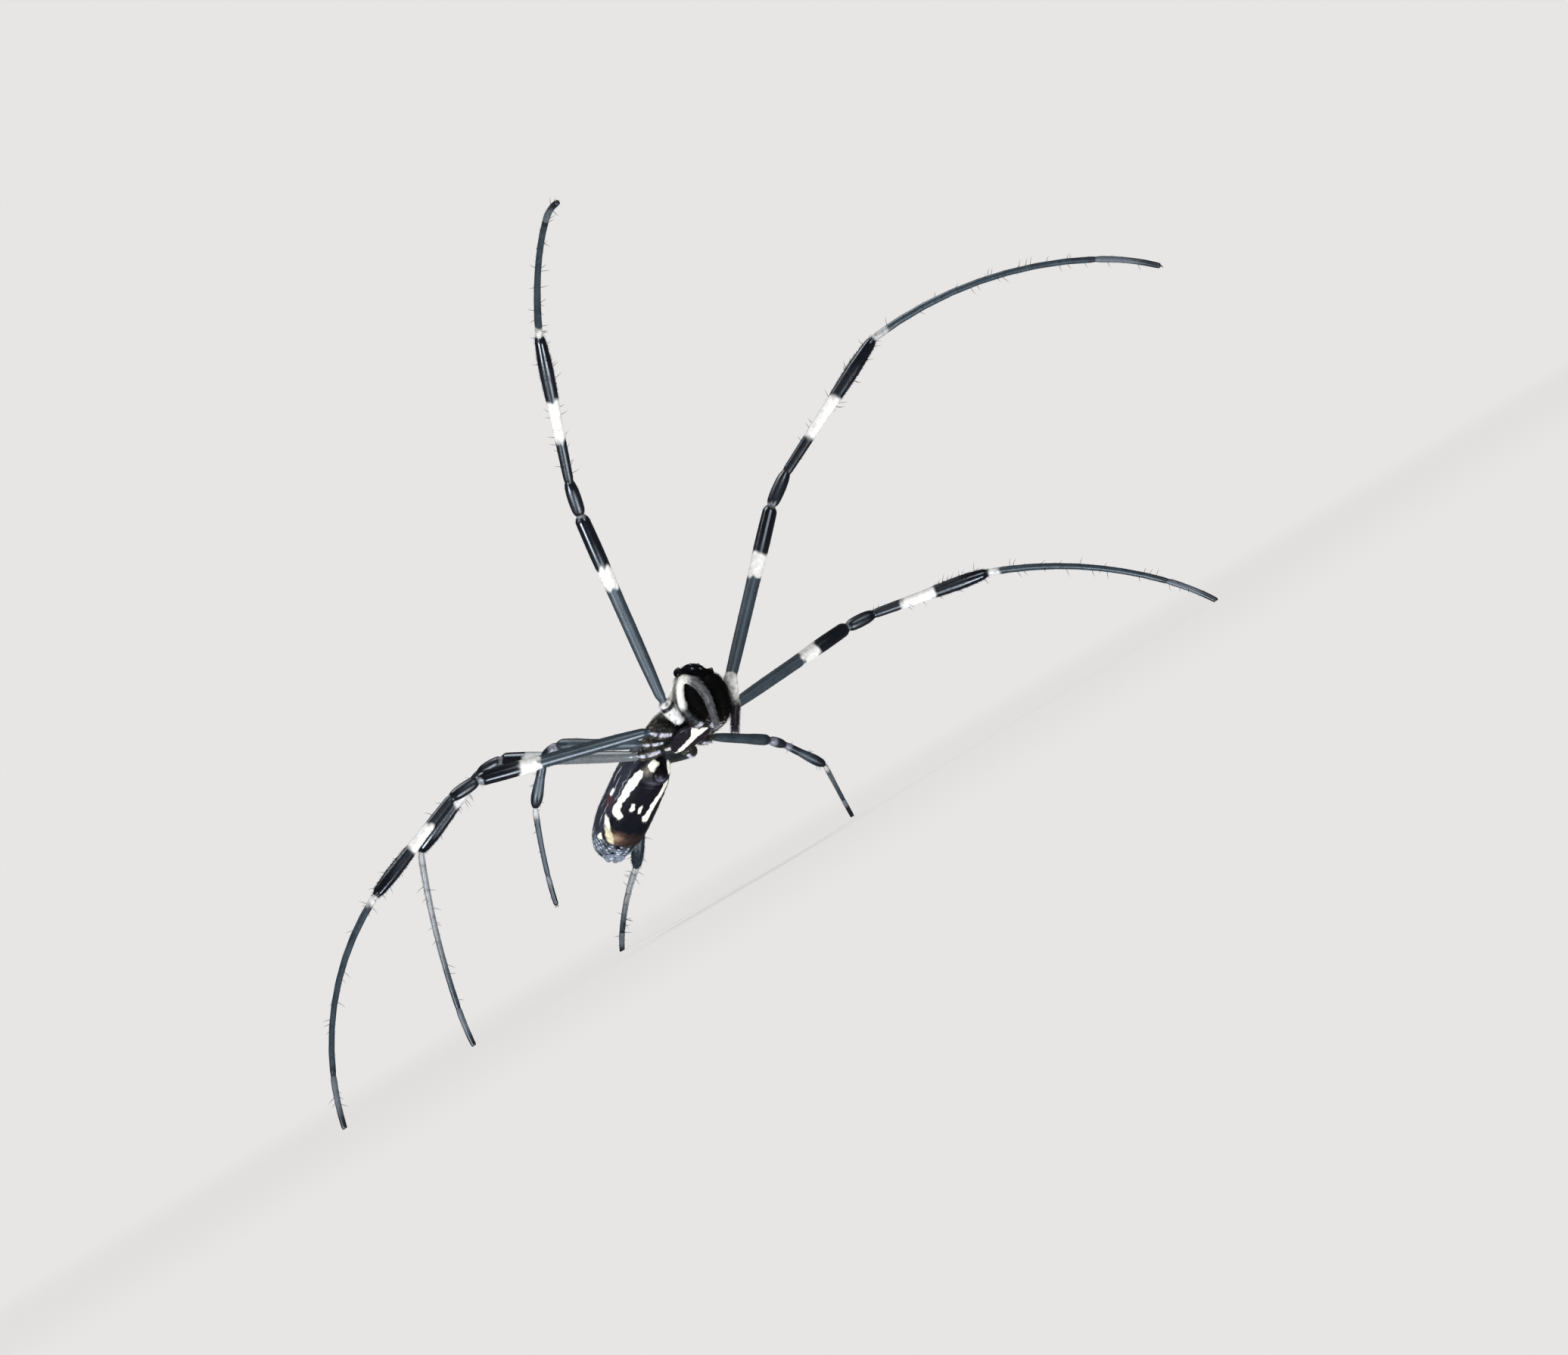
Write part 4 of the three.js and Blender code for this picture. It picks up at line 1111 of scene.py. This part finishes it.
def abdomen_tones(x, v, points):
    """Tones of the abdomen by its chart: x mm behind the front, v degrees from the belly's middle."""
    x = x + 0.05 * ripple(points, 0.55, SEED + 20)
    v = v + 1.2 * ripple(points, 0.7, SEED + 21)
    away = np.abs(v)
    flank = step(away, 55, 8) * fall(away, 140, 12)
    lines = np.abs(np.sin(np.radians(v) * 12 + 0.6 * ripple(points, 3.5, SEED + 22)))
    # Silver lines along the flanks, brightened as a painted sheen
    pale_and_sheen_streak = fall(lines, 0.15, 0.12) * step(ripple(points, 1.6, SEED + 23), 0.0, 0.6)
    back = step(away, 128, 14)
    saddle = between(x + 0.012 * (180 - away), 0.6, 1.25, 0.12) * back
    brown = between(x + 0.3 * ripple(points, 0.8, SEED + 25), 8.25, 9.45, 0.5) * fall(np.abs(v - 5), 42, 18)
    broad = 5 + 3.2 * (x - 7.2).clip(0, 1.6) - 4 * (x - 9.0).clip(0, 1)
    yellow = between(x, 7.25, 9.65, 0.14) * fall(np.abs(v + 59.5 - 14.5 * (x - 7.6)), broad, 3)
    rear = step(x, 10.0, 0.7)
    layers = [
        (BLACK, 0.6 * fall(away, 52, 6)),
        ((0.026, 0.030, 0.042, 0.28), 0.7 * flank),
        ((0.44, 0.47, 0.53, 0.3), 0.75 * pale_and_sheen_streak * flank),
        ((0.060, 0.020, 0.024, 0.3), 0.75 * haze(x, v, [5.9, -76], [0.75, 0.45])),
        ((0.105, 0.085, 0.060, 0.38), 0.85 * back),
    ]
    for place in (2.2, 4.1, 6.0, 7.9, 9.6):
        for side in (1, -1):
            spot = oval(x, (180 - away) * np.sign(v) * side, [place, 24], [0.42, 0.36])
            layers.append(((0.62, 0.58, 0.40, 0.42), 0.9 * spot * back))
    layers += [
        ((0.72, 0.72, 0.62, 0.42), 0.9 * saddle),
        ((0.014, 0.009, 0.008, 0.35), 0.9 * brown),
        ((0.060, 0.034, 0.024, 0.4), 0.75 * brown * fall(v, -8, 30)),
        # Painted highlight: a tan spot on the brown zone near the yellow patch
        ((0.27, 0.18, 0.13, 0.4), 0.6 * haze(x, v, [8.85, -24], [0.4, 0.5])),
        (BLACK, between(x, 6.75, 7.9, 0.35) * fall(away, 52, 5)),
        ((0.40, 0.37, 0.26, 0.42), yellow * step(x, 8.3, 0.5)),
        (CREAM, yellow * fall(x, 8.3, 0.5)),
        ((0.10, 0.125, 0.165, 0.25), 0.75 * rear * step(ripple(points, 1.1, SEED + 24), -0.3, 0.9)),
        # Painted highlights: white-blue glints scattered over the rear
        ((0.50, 0.56, 0.64, 0.25), 0.8 * rear * step(ripple(points, 0.5, SEED + 26), 0.85, 0.25)),
    ]
    layers += [(colour, oval(x, v, centre, radii)) for centre, radii, colour in OVAL_MARKS]
    layers += [(CREAM, stripe(x, v, shape)) for shape in (RIGHT_STRIPE, LEFT_STRIPE)]
    tones = layered(PURPLE, layers)
    veils = [
        ((0.20, 0.18, 0.15, 0.4), 0.6 * haze(x, v, [1.0, -22], [0.5, 0.45])),
        ((0.085, 0.085, 0.125, 0.28), 0.45 * haze(x, v, [2.05, 4], [0.2, 0.7])),
    ]
    for colour, share in veils:
        tones = mix(tones, colour, share * (tones[:, 0] < 0.1))
    dome = oval(x, v, [0.98, 19], [0.72, 0.95])
    sheen = haze(x, v, [1.42, 15], [0.26, 0.55])
    knob = [((0.003, 0.002, 0.003, 0.3), dome), ((0.085, 0.085, 0.13, 0.24), 0.8 * dome * sheen)]
    return layered(tones, knob)


def add_abdomen():
    """Abdomen with its genital plate, furrow, pits of the back and faint folds, and its hairs."""
    steps, sides, most_hairs = 230, 270, 9000
    at = (1 - np.cos(np.linspace(0.03, math.pi - 0.03, steps))) / 2
    at, angle = np.meshgrid(at, full_turn(sides), indexing="ij")
    share = blunt(at)
    v = np.degrees(angle) + 90
    v = np.where(v > 180, v - 360, v)
    x = ABDOMEN_LENGTH * at
    off_belly = step(np.abs(v), 50, 10)
    dome = np.clip(1 - ((x - 1.02) / 0.8) ** 2 - (arc_mm(v - 19) / 1.0) ** 2, 0, 1) ** 0.6 * 0.55
    furrow = 0.12 * bell((x - 2.35) / 0.12) * (1 - off_belly)
    folds = 0.03 * np.sin(np.radians(v) * 14 + x) * off_belly
    pits = np.zeros_like(x)
    for place in (2.8, 4.6, 6.6, 8.6):
        for side in (1, -1):
            across = arc_mm((180 - np.abs(v)) * np.sign(v) * side - 16)
            pits += 0.1 * np.exp(-(((x - place) ** 2 + across**2) / 0.05))
    lift = (dome - furrow - folds - pits) * np.clip(share * 1.4, 0, 1)
    height = np.where(np.sin(angle) > 0, ABDOMEN_BACK, ABDOMEN_BELLY)
    y = (ABDOMEN_HALF * share + lift) * np.cos(angle)
    z = (height * share + lift) * np.sin(angle)
    rings = np.stack([-x, y, z], -1)
    local, quads, tris = loft(rings[::-1])
    tones = abdomen_tones(np.append(x[::-1], [ABDOMEN_LENGTH, 0]), np.append(v[::-1], [0, 0]), local)
    surface = (from_abdomen(local), quads, tris)
    make_piece("abdomen_skin", surface, tones, ABDOMEN_CUTICLE, ["abdomen"])
    draw = np.random.default_rng(SEED + 70)
    i = draw.integers(8, steps - 8, most_hairs)
    j = draw.integers(0, sides, most_hairs)
    keep = draw.uniform(0, 1, most_hairs) < np.clip(share[i, j], 0.05, 1)
    i, j = i[keep], j[keep]
    slope = ABDOMEN_BELLY * np.gradient(share[:, 0], x[:, 0])[i]
    out = unit(np.stack([slope, np.cos(angle[i, j]), np.sin(angle[i, j])], -1))
    # The hairs take the skin's tones, painted sheen, glints and highlight included
    tones = abdomen_tones(x[i, j], v[i, j], rings[i, j]) * [0.8, 0.8, 0.8, 1] + [0.004, 0.004, 0.005, 0.2]
    lie = np.array([-1.0, 0, 0]) + draw.normal(0, 0.2, (len(i), 3))
    root, out, lie = from_abdomen(rings[i, j]), out @ ABDOMEN.T @ BODY.T, lie @ ABDOMEN.T @ BODY.T
    spots = np.stack([x[i, j] / ABDOMEN_LENGTH, (v[i, j] + 180) / 361], 1)
    coat("hair_abdomen", [tuft(draw, root, out, lie, (0.18, 0.36), 0.009, (15, 38), tones, spots)])


def add_spinnerets():
    """Two pairs of ringed cones with a small pair between them, and the low cone behind them."""
    form = Form()
    for x, y, radius, size in ((0.5, 0.5, 0.46, 1), (-0.4, 0.42, 0.36, 1), (0.1, 0.16, 0.2, 0.8)):
        for side in (1, -1):
            points = mirrored([[x, y, 0.55], [x * 0.9, y * 0.9, 0], [x * 0.5, y * 0.6, -0.55 * size]], side)
            radii = [radius * 1.1, radius * 1.15, radius * 0.7]
            surface, share = limb(points, radii, 50, 36, (0.45, 0.72), 0.12, 0.07)
            layers = [
                ((0.42, 0.46, 0.54, 0.3), 0.7 * step(ripple(surface[0], 0.8, SEED + 30), 0.4, 0.7)),
                (BLACK, 0.8 * between(share, 0.42, 0.5, 0.03)),
                ((0.10, 0.11, 0.13, 0.4), step(share, 0.85, 0.08)),
            ]
            form.add(surface, layered((0.10, 0.12, 0.16, 0.22), layers))
    form.add(ellipsoid([0, 0, 0.35], [1.0, 1.0, 0.45], 30, 48), (0.05, 0.06, 0.08, 0.3))
    form.add(ellipsoid([-0.85, 0, 0.25], [0.42, 0.34, 0.34]), (0.09, 0.1, 0.12, 0.35))
    belly = ABDOMEN_BELLY * float(blunt(np.array(SPINNERETS_AT)))
    middle = np.array([-ABDOMEN_LENGTH * SPINNERETS_AT, 0, -belly * 0.8])
    lean = rotation(math.radians(SPINNERETS_LEAN), 1)

    def place(points):
        return from_abdomen(points @ lean.T + middle)

    form.make("spinneret_skin", place, ABDOMEN_CUTICLE, ["spinnerets"])


# Floor, light and camera

PAPER = (0.80, 0.79, 0.785, 1)
ROOM_LIGHT = 0.12
FLOOR_REACH = 3000.0
# Direction from the spider, distance and size in mm, and power
LIGHTS = {
    "key": ((-0.73, -0.67, -0.14), 420, 200, 2.7),
    "low": ((0.12, -0.62, -0.77), 420, 200, 2.1),
    "fill": ((0.65, -0.75, 0.4), 480, 260, 1.0),
    "top": ((-0.1, 0.1, 1.0), 500, 300, 1.6),
}


def add_floor():
    """Wide pale floor that fades to the tone of the background away from the spider."""
    angles = full_turn(64)
    rings = []
    for radius, height in ((FLOOR_REACH, -6.0), (FLOOR_REACH, 0.0), (120.0, 0.0), (1.0, 0.0)):
        rings.append(np.stack([radius * np.cos(angles), radius * np.sin(angles), np.full(64, height)], 1))
    points, quads, tris = loft(np.array(rings))
    mesh = mesh_of("floor", points * MM, quads, tris)
    values = {"Base Color": PAPER, "Roughness": 0.9, "Specular IOR Level": 0.1}
    material, tree, shader = new_material("paper", values)
    glow = add_node(tree, "Emission", {"Color": PAPER})
    blend = add_node(tree, "MixShader")
    place = add_node(tree, "TexCoord")
    away = add_node(tree, "VectorMath", operation="LENGTH")
    limits = {"From Min": 0.03, "From Max": 0.22, "To Min": 0.7}
    fade = add_node(tree, "MapRange", limits, interpolation_type="SMOOTHSTEP")
    links = [
        (place, "Object", away, 0),
        (away, "Value", fade, "Value"),
        (fade, "Result", blend, "Fac"),
        (shader, "BSDF", blend, 1),
        (glow, "Emission", blend, 2),
        (blend, "Shader", tree.nodes["Material Output"], "Surface"),
    ]
    connect(tree, links)
    mesh.materials.append(material)
    floor = linked("floor", mesh)
    floor.visible_shadow = False
    floor.visible_glossy = False


def posed(name, data, right, up, back, place):
    """Camera or light with its own axes, at a place in millimetres."""
    item = linked(name, data)
    rows = np.column_stack([right, up, back, np.array(place) * MM])
    item.matrix_world = Matrix([*rows.tolist(), [0, 0, 0, 1]])
    return item


def add_camera():
    data = bpy.data.cameras.new("camera")
    data.sensor_width = SENSOR
    data.lens = SENSOR * CAMERA_DISTANCE / FRAME_WIDTH
    data.clip_start = 0.02
    data.clip_end = 20
    roll = math.radians(CAMERA_ROLL)
    right, up = (math.cos(roll), 0, -math.sin(roll)), (math.sin(roll), 0, math.cos(roll))
    place = PLACE + [0, -CAMERA_DISTANCE, CAMERA_HEIGHT]
    bpy.context.scene.camera = posed("camera", data, right, up, (0, -1, 0), place)


def add_light(name, towards, distance, size, power):
    """Soft round light in a direction from the spider."""
    direction = unit(np.array(towards, float))
    side = unit(np.cross([0.1, 0.2, 1.0], direction))
    data = bpy.data.lights.new(name, "AREA")
    data.shape = "DISK"
    data.size = size * MM
    data.energy = power
    posed(name, data, side, np.cross(direction, side), direction, direction * distance)


def add_world():
    """Pale backdrop that lights the spider less than it shows, so that black cuticle stays black."""
    world = bpy.data.worlds.new("studio")
    world.use_nodes = True
    tree = world.node_tree
    backdrop = fill(tree.nodes["Background"], {"Color": PAPER})
    room = add_node(tree, "Background", {"Color": PAPER, "Strength": ROOM_LIGHT})
    seen = add_node(tree, "LightPath")
    choice = add_node(tree, "MixShader")
    links = [
        (seen, "Is Camera Ray", choice, "Fac"),
        (room, "Background", choice, 1),
        (backdrop, "Background", choice, 2),
        (choice, "Shader", tree.nodes["World Output"], "Surface"),
    ]
    connect(tree, links)
    bpy.context.scene.world = world
    bpy.context.scene.view_settings.view_transform = "Standard"


def main():
    add_camera()
    add_world()
    for name, settings in LIGHTS.items():
        add_light(name, *settings)
    add_floor()
    add_claws([add_leg(name) for name in POSES])
    add_front()
    add_eyes()
    add_fangs()
    for side in (1, -1):
        add_palp(side)
    add_abdomen()
    add_spinnerets()


main()
